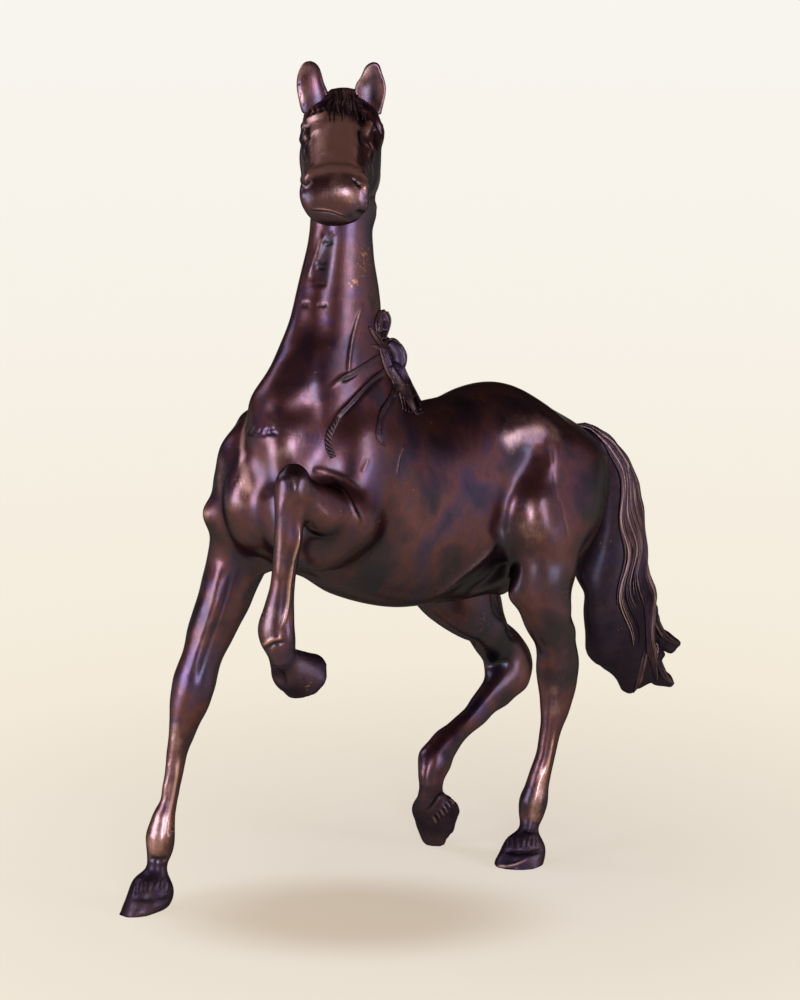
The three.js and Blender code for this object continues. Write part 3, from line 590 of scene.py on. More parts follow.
# The outline as photographed
block.draw_out([
    (308, 110, -5, 2, 9), (375, 113, 4, 0, 9), (382, 132, 2, 0, 8), (384, 158, -5, 0, 9), (299, 164, 3, 0, 8),
    (371, 194, 5, 0, 9), (298, 200, 2, 0, 8), (371, 214, 4, 1, 9), (304, 269, -2, 0, 14), (375, 288, 3, 0, 14),
    (298, 296, -2, 0, 14), (263, 385, -3, -2, 14), (254, 406, -6, -3, 14), (240, 424, -3, -2, 12),
    (226, 447, -4, -2, 12), (217, 474, -3, -2, 12), (208, 494, 2, 1, 8), (206, 523, -2, 1, 8), (207, 545, 2, 0, 9),
    (418, 400, 3, -3, 12), (560, 410, -2, 2, 14), (268, 562, 0, 11, 13), (301, 580, 2, -5, 10), (197, 590, 2, 0, 10),
    (190, 632, -3, 0, 12), (177, 683, -4, 0, 13), (174, 725, -4, 0, 14), (170, 757, -3, -1, 13),
    (155, 819, -3, -2, 10), (148, 839, -2, 0, 8), (246, 608, 2, 0, 10), (220, 672, -2, -1, 10),
    (190, 750, -2, -1, 10), (172, 850, 3, 0, 8), (134, 884, -2, -3, 9), (171, 892, 3, 0, 9), (125, 912, -2, 4, 9),
    (268, 604, -2, -1, 10), (263, 625, -4, -2, 10), (265, 659, 4, 0, 9), (296, 633, -2, 0, 9), (311, 647, 0, 6, 10),
    (320, 673, 3, 1, 10), (298, 702, 0, -5, 10), (480, 648, -4, 2, 11), (491, 660, -5, 2, 9), (516, 590, -8, 6, 11),
    (516, 618, -7, 4, 11), (523, 682, 4, 4, 10), (502, 702, 3, 3, 10), (484, 719, 2, 1, 10), (436, 736, -1, -3, 9),
    (456, 746, 2, 2, 9), (422, 751, -2, 0, 9), (444, 762, 4, 2, 9), (434, 780, 5, 2, 8), (415, 787, 4, 0, 8),
    (451, 808, 5, -3, 9), (417, 811, -5, 0, 9), (450, 829, 2, 0, 8), (430, 840, -4, 3, 8), (575, 671, 3, 0, 12),
    (567, 700, 4, 0, 12), (537, 723, 3, 0, 11), (534, 750, 3, 0, 11), (520, 800, -2, 0, 9), (517, 828, 2, 0, 8),
    (541, 831, -3, 1, 8), (505, 844, -1, -2, 8), (498, 863, -1, 3, 8), (534, 864, 4, 3, 8), (539, 680, -2, 0, 10),
    (336, 91, 0, -7, 13), (354, 91, 0, -4, 9), (381, 117, -2, 1, 7), (298, 136, 3, 0, 8), (384, 157, -6, 0, 9),
    (299, 160, 6, 0, 8), (374, 211, 2, 0, 8), (303, 213, 3, -1, 8), (303, 579, 1, -4, 9), (508, 586, -3, 6, 9),
    (302, 181, -2, 0, 7), (374, 225, -2, 0, 9), (262, 375, 2, 1, 14), (539, 397, -1, 2, 16), (431, 397, 0, 2, 12),
    (247, 414, -3, -1, 12), (219, 458, -2, 0, 10), (209, 493, 2, 0, 8), (203, 565, 2, 0, 9), (305, 579, 1, -4, 10),
    (574, 588, -2, 0, 10), (506, 603, -8, 3, 10), (523, 631, -5, 4, 10), (575, 633, -3, 1, 10), (263, 644, -2, 1, 8),
    (293, 647, 2, -2, 8), (486, 657, -4, 2, 9), (180, 664, -2, 0, 9), (529, 665, 3, 0, 9), (272, 670, -2, 0, 8),
    (319, 684, 2, 2, 9), (574, 686, 2, 0, 10), (214, 694, -2, -1, 9), (172, 702, -2, 0, 9), (564, 716, 2, 0, 9),
    (416, 767, 2, 0, 8), (444, 769, 3, 1, 8), (437, 790, 4, -2, 7), (455, 814, 2, 1, 8), (522, 817, -3, 0, 8),
    (418, 823, -2, 1, 8), (438, 842, 2, 3, 8), (497, 861, -2, -1, 7), (545, 861, -2, 0, 7), (524, 867, 0, 4, 9),
    (171, 874, -3, 1, 7), (126, 914, 0, 3, 8), (299, 160, 3, 0, 7), (380, 162, -2, 0, 7), (302, 180, -2, 0, 7),
    (304, 208, -2, 0, 7), (248, 409, -2, 0, 10), (567, 417, 0, 2, 12), (234, 422, 2, 1, 10), (306, 579, 2, -2, 8),
    (577, 587, 4, 0, 9), (502, 603, -3, 0, 9), (511, 621, -4, 1, 9), (584, 625, 3, 0, 9), (473, 649, 1, -2, 9),
    (301, 648, -2, 2, 8), (225, 657, -2, 0, 9), (267, 660, 2, 0, 8), (486, 665, -2, 0, 8), (538, 665, -2, 0, 9),
    (579, 677, -2, 0, 9), (192, 656, -2, -1, 9), (463, 707, 2, 0, 8), (201, 723, -2, 0, 9), (441, 780, 2, 0, 8),
    (168, 788, -2, 0, 8), (157, 813, 1, -3, 8), (539, 821, 2, 0, 8), (543, 846, 2, 0, 7), (175, 842, -2, 0, 8),
    (525, 868, 0, 3, 8), (169, 907, -1, -2, 8), (125, 915, -2, 2, 8), (214, 565, 3, 0, 8), (576, 588, -4, -6, 10),
    (582, 610, -2, 0, 9), (299, 160, 3, 0, 7), (380, 156, -2, 0, 7), (248, 408, -2, 0, 10), (305, 578, 1, -2, 8),
    (507, 590, -2, 2, 9), (504, 611, -3, 1, 9), (518, 632, -2, 1, 9), (574, 629, -3, 0, 9), (526, 868, 2, 2, 7),
    (541, 835, -2, 0, 7), (299, 160, 3, 0, 7), (380, 159, -2, 0, 7), (239, 416, 2, 1, 10), (305, 578, 1, -2, 8),
    (576, 583, 3, -2, 8), (500, 594, 2, -3, 8), (504, 614, -2, 0, 8), (584, 627, 3, 0, 8), (300, 648, -1, 2, 8),
    (531, 868, 0, 2, 7), (128, 916, 0, 2, 7), (345, 86, 0, 2, 9), (380, 155, -2, 0, 7), (299, 160, 3, 0, 7),
    (248, 408, -2, 0, 10), (305, 578, 1, -2, 8), (501, 594, -1, -4, 8), (504, 614, -2, 0, 8), (574, 625, -3, 0, 8),
    (294, 648, 2, 0, 8), (531, 868, 0, 2, 7), (125, 916, 0, 2, 7), (501, 594, -1, -3, 8), (504, 614, -2, 0, 8),
    (584, 592, -2, 2, 8), (569, 612, 2, 0, 8), (584, 627, 3, 0, 8), (617, 445, 2, 0, 9), (379, 309, 1, -2, 7),
])
# Hip bone, the hollow under it that runs down into the flank, and the stifle's round muscle
block.stroke([(504, 444), (516, 431), (536, 425), (552, 433), (555, 456), (551, 486)], 8, 2.2, twin=MIDDLE)
block.stroke([(534, 444), (530, 460), (522, 477), (510, 500), (502, 522), (495, 540)], 11, -3.2, taper=0.1,
             twin=MIDDLE)
block.stroke([(510, 478), (502, 500), (494, 524), (484, 547)], 10, 1, twin=MIDDLE)
block.stroke([(542, 500), (545, 526)], 17, 3.4, taper=0, twin=MIDDLE)
block.stroke([(520, 548), (538, 560), (558, 563), (580, 555), (600, 537)], 9, -1.3, twin=MIDDLE)
block.stroke([(497, 546), (478, 566), (455, 583), (430, 598)], 7, 1.4, twin=MIDDLE)
block.stroke([(512, 560), (490, 580), (464, 597)], 8, -1.8, taper=0.3)
# Forearm held up: the crease over it, its outer contour and the elbow's mass
block.swell((320, 522), 13, 5)
block.swell((300, 540), 9, 2)
for u, v, width in ((386, 500, 22), (388, 528, 22), (368, 555, 20), (340, 566, 18), (312, 562, 14), (318, 526, 14),
                    (340, 486, 14), (362, 500, 16), (246, 540, 15), (262, 520, 12)):
    block.soften((u, v), width, 30)
block.settle()
block.stroke([(322, 472), (344, 479), (364, 494)], 4, -1.1)
block.swell((316, 524), 14, 4)
# Right shoulder and its elbow knob
block.stroke([(244, 420), (241, 446), (243, 470), (248, 494)], 6, 2)
block.stroke([(257, 438), (261, 466), (264, 495)], 9, -2)
block.swell((234, 500), 12, 2)
block.swell((206, 513), 7, 3.5)
# Breast and neck: two ridges, the groove between them, and the hollow above the breast
block.swell((286, 447), 15, 2.4)
block.stroke([(312, 340), (314, 366), (320, 396)], 11, 1.6, taper=0.3)
block.stroke([(313, 306), (303, 340), (294, 372), (287, 404)], 10, -1.4, taper=0.3)
block.stroke([(288, 345), (277, 380), (268, 410)], 10, 1.2, taper=0.3)
block.stroke([(282, 416), (300, 410), (320, 405)], 8, -1.6, taper=0.3)
block.swell((362, 428), 24, 1.8)
block.stroke([(386, 362), (364, 386), (345, 410), (333, 434)], 6, -1.4, taper=0.3)
block.settle()
block.smooth(5, trunk_share)
block.settle()

# Fine wax
lump = fuse([block.form], CLAY_GRAIN, "wax")
flat = np.empty(len(lump.data.polygons) * 3)
lump.data.polygons.foreach_get("normal", flat)
chosen = on_head_at(face_centres(lump.data)) & (flat.reshape(-1, 3) @ back_to_eye > 0.05)
pick(lump)
lump.data.polygons.foreach_set("select", chosen)
bpy.ops.object.mode_set(mode="EDIT")
bpy.ops.mesh.subdivide(number_cuts=1)
bpy.ops.object.mode_set(mode="OBJECT")
wax = Wax(lump)
wax.smooth(8, hold=0.5)
# Creases, cords and tool marks
wax.stroke([(312, 470), (324, 471), (342, 478), (360, 490)], 1.8, 0.5, rub=0.25)
wax.stroke([(326, 474), (342, 490), (352, 506), (360, 526)], 1.8, 0.7, rub=0.25)
wax.stroke([(330, 473), (346, 489), (356, 505), (364, 524)], 1.8, -0.6, grime=0.3)
wax.stroke([(498, 542), (478, 563), (456, 580), (432, 597)], 2.4, 0.6, rub=0.2)
wax.stroke([(549, 441), (552, 464), (558, 494), (566, 522), (571, 549)], 1.2, -0.15, rub=0.3)
wax.stroke([(364, 302), (358, 316), (352, 338), (349, 360), (348, 376)], 1.1, 0.8, rub=0.3)
wax.stroke([(383, 354), (368, 363), (352, 373), (341, 378), (327, 391)], 1.2, 0.6, rub=0.2)
wax.stroke([(381, 357), (366, 366), (351, 376), (340, 381)], 1.2, -0.8, grime=0.6)
wax.stroke([(384, 370), (368, 382), (352, 400), (338, 415), (331, 428)], 1.3, 0.6, rub=0.2)
wax.stroke([(386, 373), (370, 386), (354, 404), (340, 419)], 1.3, -0.8, grime=0.6)
wax.stroke([(324, 234), (320, 246), (314, 262), (308, 278)], 2, 0.7, rub=0.2)
wax.stroke([(331, 231), (327, 248), (322, 268), (317, 290)], 4.5, -0.8, grime=0.7)
for u, v, span in ((328, 243, 7), (322, 262, 7), (322, 268, 6), (321, 284, 6), (306, 302, 5), (306, 305, 5),
                   (323, 305, 6)):
    wax.stroke([(u - span, v), (u, v + 1), (u + span * 0.7, v - 1)], 1, -0.35, grime=0.5)
wax.stroke([(404, 444), (399, 460), (396, 476)], 0.9, 0.5, rub=0.5)
wax.stroke([(369, 459), (366, 465), (362, 472)], 1.2, 0.3, rub=0.15)
for u, v in ((250, 431), (256, 430), (262, 432), (268, 431), (274, 430)):
    wax.stroke([(u, v - 3), (u - 3, v + 2), (u + 4, v + 4)], 0.9, -0.6, grime=0.6)
# Worn places, and painted highlights and painted shade
wax.tint([(508, 437), (522, 428), (538, 425), (552, 430)], 10, rub=0.5)
# Rubbed brass on the breast, brightened further as a painted highlight
wax.tint([(283, 446), (296, 440)], 12, rub=0.3)
# Rubbed brass on the stifle, brightened further as a painted highlight
wax.tint([(531, 506), (532, 534)], 10, rub=0.35)
# Painted shade beside the stifle, which damps a highlight there
wax.tint([(556, 505), (558, 530)], 9, grime=0.35)
# Painted shade over the right hind's hock
wax.tint([(508, 634), (500, 660), (484, 684)], 11, grime=0.9)
wax.tint([(222, 504), (235, 502), (246, 498)], 8, rub=0.25)
wax.tint([(244, 424), (242, 446), (244, 468), (248, 486)], 3.5, rub=0.8)
wax.tint([(221, 464), (219, 490)], 6, rub=0.35)
wax.tint([(278, 484), (290, 480), (304, 484)], 5, rub=0.2)
wax.tint([(205, 512)], 5, rub=0.5)
# Head: brows, eyes, the flat face, nostrils and mouth
wax.stroke([(306, 121), (316, 117), (328, 114)], 3.4, 1.8, rub=0.5)
wax.stroke([(357, 109), (367, 112), (377, 121), (383, 131)], 3, 1.4, twin=FACE)
wax.stroke([(363, 110), (363, 118), (360, 126)], 3.4, -1.8, grime=0.8)
wax.stroke([(366, 107), (374, 118), (380, 128), (384, 138)], 1.2, -1.3, grime=1, twin=FACE)
wax.stroke([(374, 127), (377, 136), (375, 147)], 2.4, -2.6, grime=1.5, twin=FACE)
wax.stroke([(380, 122), (384, 132), (382, 144)], 2.6, 1.2, rub=0.3, twin=FACE)
wax.stroke([(370, 120), (367, 128), (364, 137)], 2.2, 2.2, rub=1, taper=0.4)
wax.stroke([(306, 124), (304, 131), (306, 139)], 1.8, 1.2, rub=0.4)
wax.stroke([(309, 124), (308, 132), (309, 141)], 1.2, -1, grime=0.8)
wax.swell((369.5, 123), 2.2, 1, rub=0.3)
wax.swell((369.5, 123), 0.8, -0.7, grime=0.9)
wax.stroke([(360, 127), (361, 138), (365, 147)], 1.1, -0.8, grime=0.6)
wax.stroke([(364, 142), (369, 149), (368, 157)], 1, 0.6, rub=0.3)
wax.stroke([(369, 142), (373, 150), (371, 160)], 1.1, -0.8, grime=0.5, twin=FACE)
wax.stroke([(304, 124), (303, 132), (305, 141)], 1.1, 0.6, rub=0.7)
wax.stroke([(335, 118), (331, 136), (328, 158)], 4, 1.2, rub=0.35)
wax.stroke([(359, 124), (361, 145), (360, 166)], 3, -1.6, grime=0.55)
wax.stroke([(315, 130), (314, 150), (311, 166)], 3, -1.2, grime=0.4)
wax.stroke([(302, 170), (314, 164), (332, 161), (346, 162), (361, 168)], 4, -0.7, grime=0.25, taper=0.1)
wax.stroke([(308, 173), (318, 169), (335, 167), (350, 168), (360, 174)], 4.5, 0.5, rub=0.7)
wax.swell((308.5, 176), 3.6, 1.2, rub=0.5)
wax.stroke([(301, 183), (305, 186.5), (310, 185), (314, 181)], 0.8, 0.45, rub=0.7)
wax.stroke([(303, 181), (307, 183), (311, 180)], 1, -0.5, grime=0.5)
wax.stroke([(352, 179), (356, 183), (361, 188)], 1.1, -1.7, grime=1, taper=0.3)
wax.stroke([(361, 173), (364, 181), (361, 190)], 3, 1.2, rub=0.6)
# The muzzle's swell carries a little painted highlight
wax.swell((344, 188), 11, 1.6, rub=0.15)
# The face panel: rubbed brass, brightened further as painted light
wax.tint([(324, 124), (325, 160)], 10, rub=1.5)
# Painted highlight over the top of the skull
wax.tint([(310, 103), (328, 94), (350, 94), (368, 100)], 10, rub=0.9)
# Painted shade at the lower left of the muzzle, which damps a highlight
wax.tint([(306, 190)], 6, grime=0.35)
# A worn band over the muzzle, brightened further as painted light
wax.tint([(312, 172), (335, 168), (356, 172)], 6, rub=0.9)
# Painted highlight on the muzzle
wax.tint([(338, 186), (352, 194)], 9, rub=0.35)
# The face panel's other side: rubbed brass, brightened further as painted light
wax.tint([(344, 124), (346, 160)], 10, rub=1.2)
wax.tint([(312, 120), (322, 119)], 5, rub=0.6)
# Painted shade under the muzzle and on the chin
wax.tint([(310, 196), (316, 214), (332, 222)], 7, grime=0.35)
# Painted shade on the cheek beside the muzzle
wax.tint([(368, 165), (370, 195)], 7, grime=0.3)
wax.stroke([(310, 208.5), (322, 209.5), (334, 211.5), (346, 216.5)], 0.7, 0.45, rub=0.7)
wax.stroke([(310, 210), (322, 211), (334, 213), (347, 218)], 0.8, -0.6, grime=0.6)
wax.stroke([(347, 221), (360, 214), (373, 204)], 2.4, -1.6, grime=0.8)
wax.swell((376, 208), 3, 1)
for u, length in ((364, 34), (368, 30), (372, 22)):
    wax.stroke([(u, 162), (u + 2, 162 + length / 2), (u + 1, 162 + length)], 1.1, 0.5, rub=0.25)
# Hair round the brows, ridge and groove by turns
for step in range(9):
    height = -0.6 if step % 2 else 0.5
    u = 300 + 2.8 * step
    wax.stroke([(u, 106), (u + 3, 111), (u + 2, 116)], 1, height, rub=0.2, grime=0.2)
    u = 362 + 2 * step
    wax.stroke([(u, 100), (u - 1, 106), (u + 2, 112)], 1, height, grime=0.2)
# Legs: front cords, fetlock steps, the pitted strip inside the right forearm
wax.stroke([(234, 548), (228, 586), (216, 624), (205, 655), (197, 684)], 1.8, -0.5, grime=0.6)
wax.tint([(240, 556), (233, 600), (222, 640), (210, 680)], 5, grime=0.35)
# A cord down the right forearm; its crest is lightened a little as a painted highlight
wax.stroke([(219, 560), (215, 600), (202, 640), (190, 676)], 3.4, 0.8, rub=0.15)
wax.stroke([(180, 752), (175, 784), (170, 812), (166, 838)], 1, 0.5, rub=0.8)
wax.tint([(160, 822), (158, 836), (155, 846)], 7, rub=0.65)
wax.tint([(176, 730), (170, 770), (164, 800)], 4, rub=0.35)
wax.stroke([(150, 857), (158, 860), (169, 857)], 1.6, -1, grime=0.6)
wax.stroke([(306, 500), (299, 540), (292, 566), (289, 586), (288, 604), (285, 620), (279, 632)], 1.1, 0.8, rub=0.7)
# A ridge down the left forearm; its crest is lightened a little as a painted highlight
wax.stroke([(281, 496), (281, 540), (280, 582)], 4, 0.7, rub=0.2)
wax.tint([(272, 610), (266, 632), (267, 644)], 4, rub=0.3)
wax.stroke([(262, 646), (268, 642), (275, 639), (284, 638)], 1.3, 0.6, rub=0.5)
wax.stroke([(264, 651), (270, 646), (277, 643), (288, 642)], 1.5, -1, grime=0.7)
wax.stroke([(272, 663), (283, 673), (287, 688)], 1.2, -0.6, grime=0.6)
wax.stroke([(556, 728), (547, 765), (540, 782), (535, 802)], 1.1, 0.7, rub=1)
wax.tint([(545, 770), (537, 800), (534, 815)], 4.5, rub=0.6)
wax.tint([(553, 690), (555, 712)], 5, rub=0.3)
# Painted shade on the left hind's gaskin, under the stifle
wax.tint([(535, 576), (562, 578)], 13, grime=0.55)
wax.tint([(560, 600), (556, 630)], 14, grime=0.3)
# Hooves: the coronet's hair in short strokes, the crease over the wall, the lip and the heel's tufts
for u, v in ((134, 890), (138, 887), (142, 886), (146, 885), (151, 885), (157, 884), (162, 884), (167, 886)):
    wax.stroke([(u + 1, v - 5), (u - 1, v + 6)], 0.8, 0.45, rub=0.25, taper=0.3)
    wax.stroke([(u + 3, v - 5), (u + 1, v + 6)], 0.8, -0.4, grime=0.5, taper=0.3)
wax.stroke([(130, 900), (145, 899), (160, 900), (170, 898)], 1.6, -0.6, grime=0.5)
wax.tint([(130, 909), (136, 906)], 4, rub=0.25)
wax.stroke([(499, 851), (512, 853), (528, 853), (543, 850)], 1.5, -1.5, grime=0.9)
wax.stroke([(496, 866), (505, 866), (516, 864), (528, 859)], 1.1, 0.7, rub=0.6)
for u in (508, 513, 518, 523, 528, 533):
    wax.stroke([(u + 1, 837), (u, 847)], 0.9, 0.5, rub=0.25, taper=0.3)
    wax.stroke([(u + 3.5, 837), (u + 2.5, 847)], 1, -0.6, grime=0.5, taper=0.3)
wax.stroke([(523, 830), (530, 832), (537, 831)], 1.4, -1, grime=0.6)
wax.stroke([(427, 811), (434, 803), (440, 796), (446, 792)], 1.2, -1.2, grime=0.8)
for step in range(6):
    u, v = 432 + 3.4 * step, 816 - 3.6 * step
    wax.stroke([(u, v), (u + 3, v + 3), (u + 5, v + 8)], 1, 0.9, rub=0.4, taper=0.3)
    wax.stroke([(u + 2, v - 1), (u + 5, v + 2), (u + 7, v + 7)], 0.9, -0.7, grime=0.6, taper=0.3)
wax.weather(10, 0.45, 1.6)
# Painted shade on the undersides and over the right hind's hock
wax.grime += 0.5 * fades(-wax.normals[:, 2], 0.05, 0.75)
wax.tint([(478, 618), (500, 632), (506, 650)], 14, grime=0.35)
wax.points[:, 2] = np.maximum(wax.points[:, 2], 0)
wax.mark()


# Castings
def seam_on(route, along):
    ahead, here, behind = (between(route, place)[0] for place in (along + 0.05, along, along - 0.05))
    return here, unit(ahead - behind)


def station_seam(place):
    top_y, top_z, low_y, low_z = between(TRUNK, place)[0][:4]
    up = np.array([0, top_y - low_y, top_z - low_z])
    return np.array([0, low_y, low_z]), unit(-np.cross(up, (1, 0, 0)))


# Seams: a place on the cut, and which way lies the casting beyond it
NECK_SEAM = station_seam(12)
HEAD_SEAM = station_seam(16)
JAW_SEAM = (np.array([0, -88.5, 0]), FORWARD)
CHIN_SEAM = (np.array([0, 0, 436.0]), UPWARD)
# Nothing below these heights is neck or head
NECK_FLOOR = 290
HEAD_FLOOR = 425
LEGS = {
    "fore_right": (FORE_RIGHT, seam_on(FORE_RIGHT, 1.12), seam_on(FORE_RIGHT, 3.42)),
    "fore_left": (FORE_LEFT_LOWER, seam_on(FORE_LEFT_UPPER, 0.75), seam_on(FORE_LEFT_LOWER, 2.42)),
    "hind_left": (HIND_LEFT, seam_on(HIND_LEFT, 1.45), seam_on(HIND_LEFT, 4.42)),
    "hind_right": (HIND_RIGHT, seam_on(HIND_RIGHT, 1.45), seam_on(HIND_RIGHT, 4.42)),
}


def beyond(points, seam):
    origin, normal = seam
    return (points - origin) @ normal > 0


def parts_of(items, kind):
    """The corners or edges of some faces or edges, each once and in a steady order."""
    return list(dict.fromkeys(part for item in items for part in getattr(item, kind)))


def saw(form, seam, centre=None, radius=None):
    """Scores a flat cut across the skin, near a centre where one is given."""
    origin, normal = seam
    centres = face_centres(form.data)
    near = np.abs((centres - origin) @ normal) < 6
    if centre is not None:
        near &= np.linalg.norm(centres - centre, axis=1) < radius
    work = bmesh.new()
    work.from_mesh(form.data)
    work.faces.ensure_lookup_table()
    faces = [work.faces[at] for at in np.flatnonzero(near)]
    geometry = parts_of(faces, "verts") + parts_of(faces, "edges") + faces
    bmesh.ops.bisect_plane(work, geom=geometry, plane_co=metres(origin), plane_no=normal, dist=1e-7)
    work.to_mesh(form.data)
    work.free()


def nearest(names, spot):
    return min(trees[name].find_nearest(spot)[3] for name in names)


def castings_of(centres):
    """Which casting each face of the wax belongs to."""
    names = np.where(centres[:, 0] > 0, "trunk_left", "trunk_right").astype(object)
    names[beyond(centres, NECK_SEAM) & (centres[:, 2] > NECK_FLOOR)] = "neck"
    jaw = beyond(centres, JAW_SEAM) & beyond(centres, CHIN_SEAM)
    names[(beyond(centres, HEAD_SEAM) & (centres[:, 2] > HEAD_FLOOR)) | jaw] = "head"
    trunk_forms = ["body"] + [name for name in trees if name.startswith("muscle")]
    for label, (route, leg_seam, hoof_seam) in LEGS.items():
        own = [name for name in trees if name.startswith(label) or name == "hoof_" + label]
        line = between(route, np.linspace(0, len(route) - 1, 60))
        if label == "fore_left":
            line = np.concatenate([line, between(FORE_LEFT_UPPER, np.linspace(0, 4, 30))])
        near = np.min([((centres - spot) ** 2).sum(1) for spot in line], axis=0) < 55**2
        chosen = np.flatnonzero(near & beyond(centres, leg_seam))
        spots = [Vector(spot) for spot in centres[chosen]]
        leg = chosen[[nearest(own, spot) < nearest(trunk_forms, spot) for spot in spots]]
        names[leg] = "leg_" + label
        past = beyond(centres[leg], hoof_seam) & (np.linalg.norm(centres[leg] - hoof_seam[0], axis=1) < 60)
        names[leg[past]] = "hoof_" + label
    return names


saw(wax.form, MIDDLE)
saw(wax.form, NECK_SEAM)
saw(wax.form, HEAD_SEAM, HEAD_SEAM[0] + (0, 20, 10), 70)
saw(wax.form, JAW_SEAM, np.array([0, -88.5, 450]), 60)
saw(wax.form, CHIN_SEAM, np.array([0, -92, 436]), 30)
for route, leg_seam, hoof_seam in LEGS.values():
    saw(wax.form, leg_seam, leg_seam[0], 42)
    saw(wax.form, hoof_seam, hoof_seam[0], 20)

names = castings_of(face_centres(wax.form.data))
casting_names = sorted(set(names))
for name in casting_names:
    wax.form.data.materials.append(bpy.data.materials.new("cut_" + name))
order = {name: index for index, name in enumerate(casting_names)}
wax.form.data.polygons.foreach_set("material_index", [order[name] for name in names])
pick(wax.form)
bpy.ops.object.mode_set(mode="EDIT")
bpy.ops.mesh.select_all(action="SELECT")
bpy.ops.mesh.separate(type="MATERIAL")
bpy.ops.object.mode_set(mode="OBJECT")
castings = {}
for form in list(bpy.context.selected_objects):
    label = form.data.materials[form.data.polygons[0].material_index].name[4:]
    form.name = label + "_cast"
    castings[label] = form


def cap(work, rim, sunk=None):
    """Closes a rim with a fan, drawn in a little towards a place inside."""
    corners = parts_of(rim, "verts")
    centre = sum((corner.co for corner in corners), Vector()) / len(corners)
    if sunk:
        size = sum((corner.co - centre).length for corner in corners) / len(corners)
        centre = centre + (sunk - centre).normalized() * size * 0.3
    point = work.verts.new(centre)
    for edge in rim:
        a, b = edge.verts
        work.faces.new((a, b, point))


def close(form):
    """Closes the cut ends, so that each casting is a closed body. A half of the trunk gets a flat inner side,
    which ends at a straight line across the neck."""
    form.data.materials.clear()
    work = bmesh.new()
    work.from_mesh(form.data)
    for face in work.faces:
        face.smooth = True
    inside = sum((corner.co for corner in work.verts), Vector()) / len(work.verts)
    plane = metres(np.zeros(3))[0]
    loose, flat = {}, []
    for edge in work.edges:
        if len(edge.link_faces) == 1:
            edge.smooth = False
            if all(abs(corner.co.x - plane) < 1e-6 for corner in edge.verts):
                flat.append(edge)
            else:
                loose[edge] = True
    while loose:
        rim = [loose.popitem()[0]]
        for step in rim:
            for corner in step.verts:
                rim += [edge for edge in corner.link_edges if loose.pop(edge, False)]
        ends = [corner for corner in parts_of(rim, "verts") if sum(edge in rim for edge in corner.link_edges) == 1]
        if len(ends) == 2:
            # Half a ring, open at the mid-plane: a straight edge across closes it
            bridge = work.edges.new(ends)
            flat.append(bridge)
            cap(work, rim + [bridge])
        else:
            cap(work, rim, inside)
    if flat:
        bmesh.ops.triangle_fill(work, edges=flat, use_beauty=True)
    bmesh.ops.recalc_face_normals(work, faces=work.faces)
    work.to_mesh(form.data)
    work.free()


for form in castings.values():
    close(form)

# Ears: rounded leaves. The right one shows its smooth back, the left one its grooved inside.
EAR_HEIGHT = 31
EAR_WIDTH = 18.5
EAR_THICKNESS = 8.5
EAR_LEAN = 0.1
EAR_ROWS = [(0, 0.84, 0.9), (0.15, 0.92, 1), (0.35, 1, 1), (0.55, 1, 0.95), (0.74, 0.93, 0.8),
            (0.88, 0.7, 0.55), (0.96, 0.42, 0.35), (1, 0.12, 0.12)]


def ear(hand, name, hollow):
    turn = 2 * np.pi * np.arange(56) / 56
    reach, push = np.cos(turn), np.sin(turn)
    rings = []
    for rise, width, depth in between(EAR_ROWS, np.linspace(0, len(EAR_ROWS) - 1, 50)):
        centre = on_head(4, hand * (16 + rise * EAR_HEIGHT * EAR_LEAN), -10) + UPWARD * rise * EAR_HEIGHT
        front = -hollow * np.sin(np.pi * rise) ** 0.5 * np.clip(push, 0, 1) ** 2 + (1 - hollow) * 0.5 * push
        shape = np.where(push > 0, front, push) * depth * EAR_THICKNESS
        rings.append(centre + np.outer(reach * width * EAR_WIDTH / 2, head_side) + np.outer(shape + 2, head_ahead))
    work = Wax(fuse([wrap(name, rings)], HAIR_GRAIN, name))
    work.smooth(4)
    return work


right_ear, left_ear = ear(-1, "ear_right_cast", 0.0), ear(1, "ear_left_cast", 0.45)
right_ear.draw_out([(325, 78, -6, 2, 8), (299, 88, -2, -1, 8), (304, 108, -2, 0, 8), (303, 66, 0, -2, 6)])
left_ear.draw_out([(357, 76, 3, 1, 7), (385, 73, -4, 0, 6), (382, 105, -1, 3, 7), (358, 88, -2, -3, 6)])
right_ear.tint([(300, 98), (298, 82), (303, 68)], 4, rub=0.6)
right_ear.tint([(312, 88), (312, 76), (311, 66)], 6, rub=0.25)
right_ear.tint([(316, 104), (306, 110)], 6, grime=0.35)
for u, v in ((299, 84), (301, 94), (300, 97), (304, 105)):
    right_ear.swell((u, v), 0.7, -0.4, grime=0.6)
left_ear.tint([(371, 80), (373, 90), (374, 99)], 2, grime=0.6)
left_ear.tint([(368, 92), (376, 106)], 6, grime=0.35)
left_ear.tint([(371, 68), (379, 74), (381, 88), (380, 98)], 4, rub=0.3)
left_ear.tint([(360, 84), (366, 72)], 3.5, rub=0.35)
for work, name in ((right_ear, "ear_right"), (left_ear, "ear_left")):
    work.weather(6, 0.4, 0.5)
    work.mark()
    castings[name] = work.form


# Hair
def laid(spots):
    """A path over the wax, seen by the camera exactly at its spots of the picture, and lifted off the wax."""
    path = []
    for u, v, lift in spots:
        point, normal = wax.place((u, v))
        point = point + normal * lift
        seen, depth = on_picture(point)
        path.append(point + (eye_right * (u - seen[0]) - eye_up * (v - seen[1])) * depth / FOCAL_PIXELS)
    return path


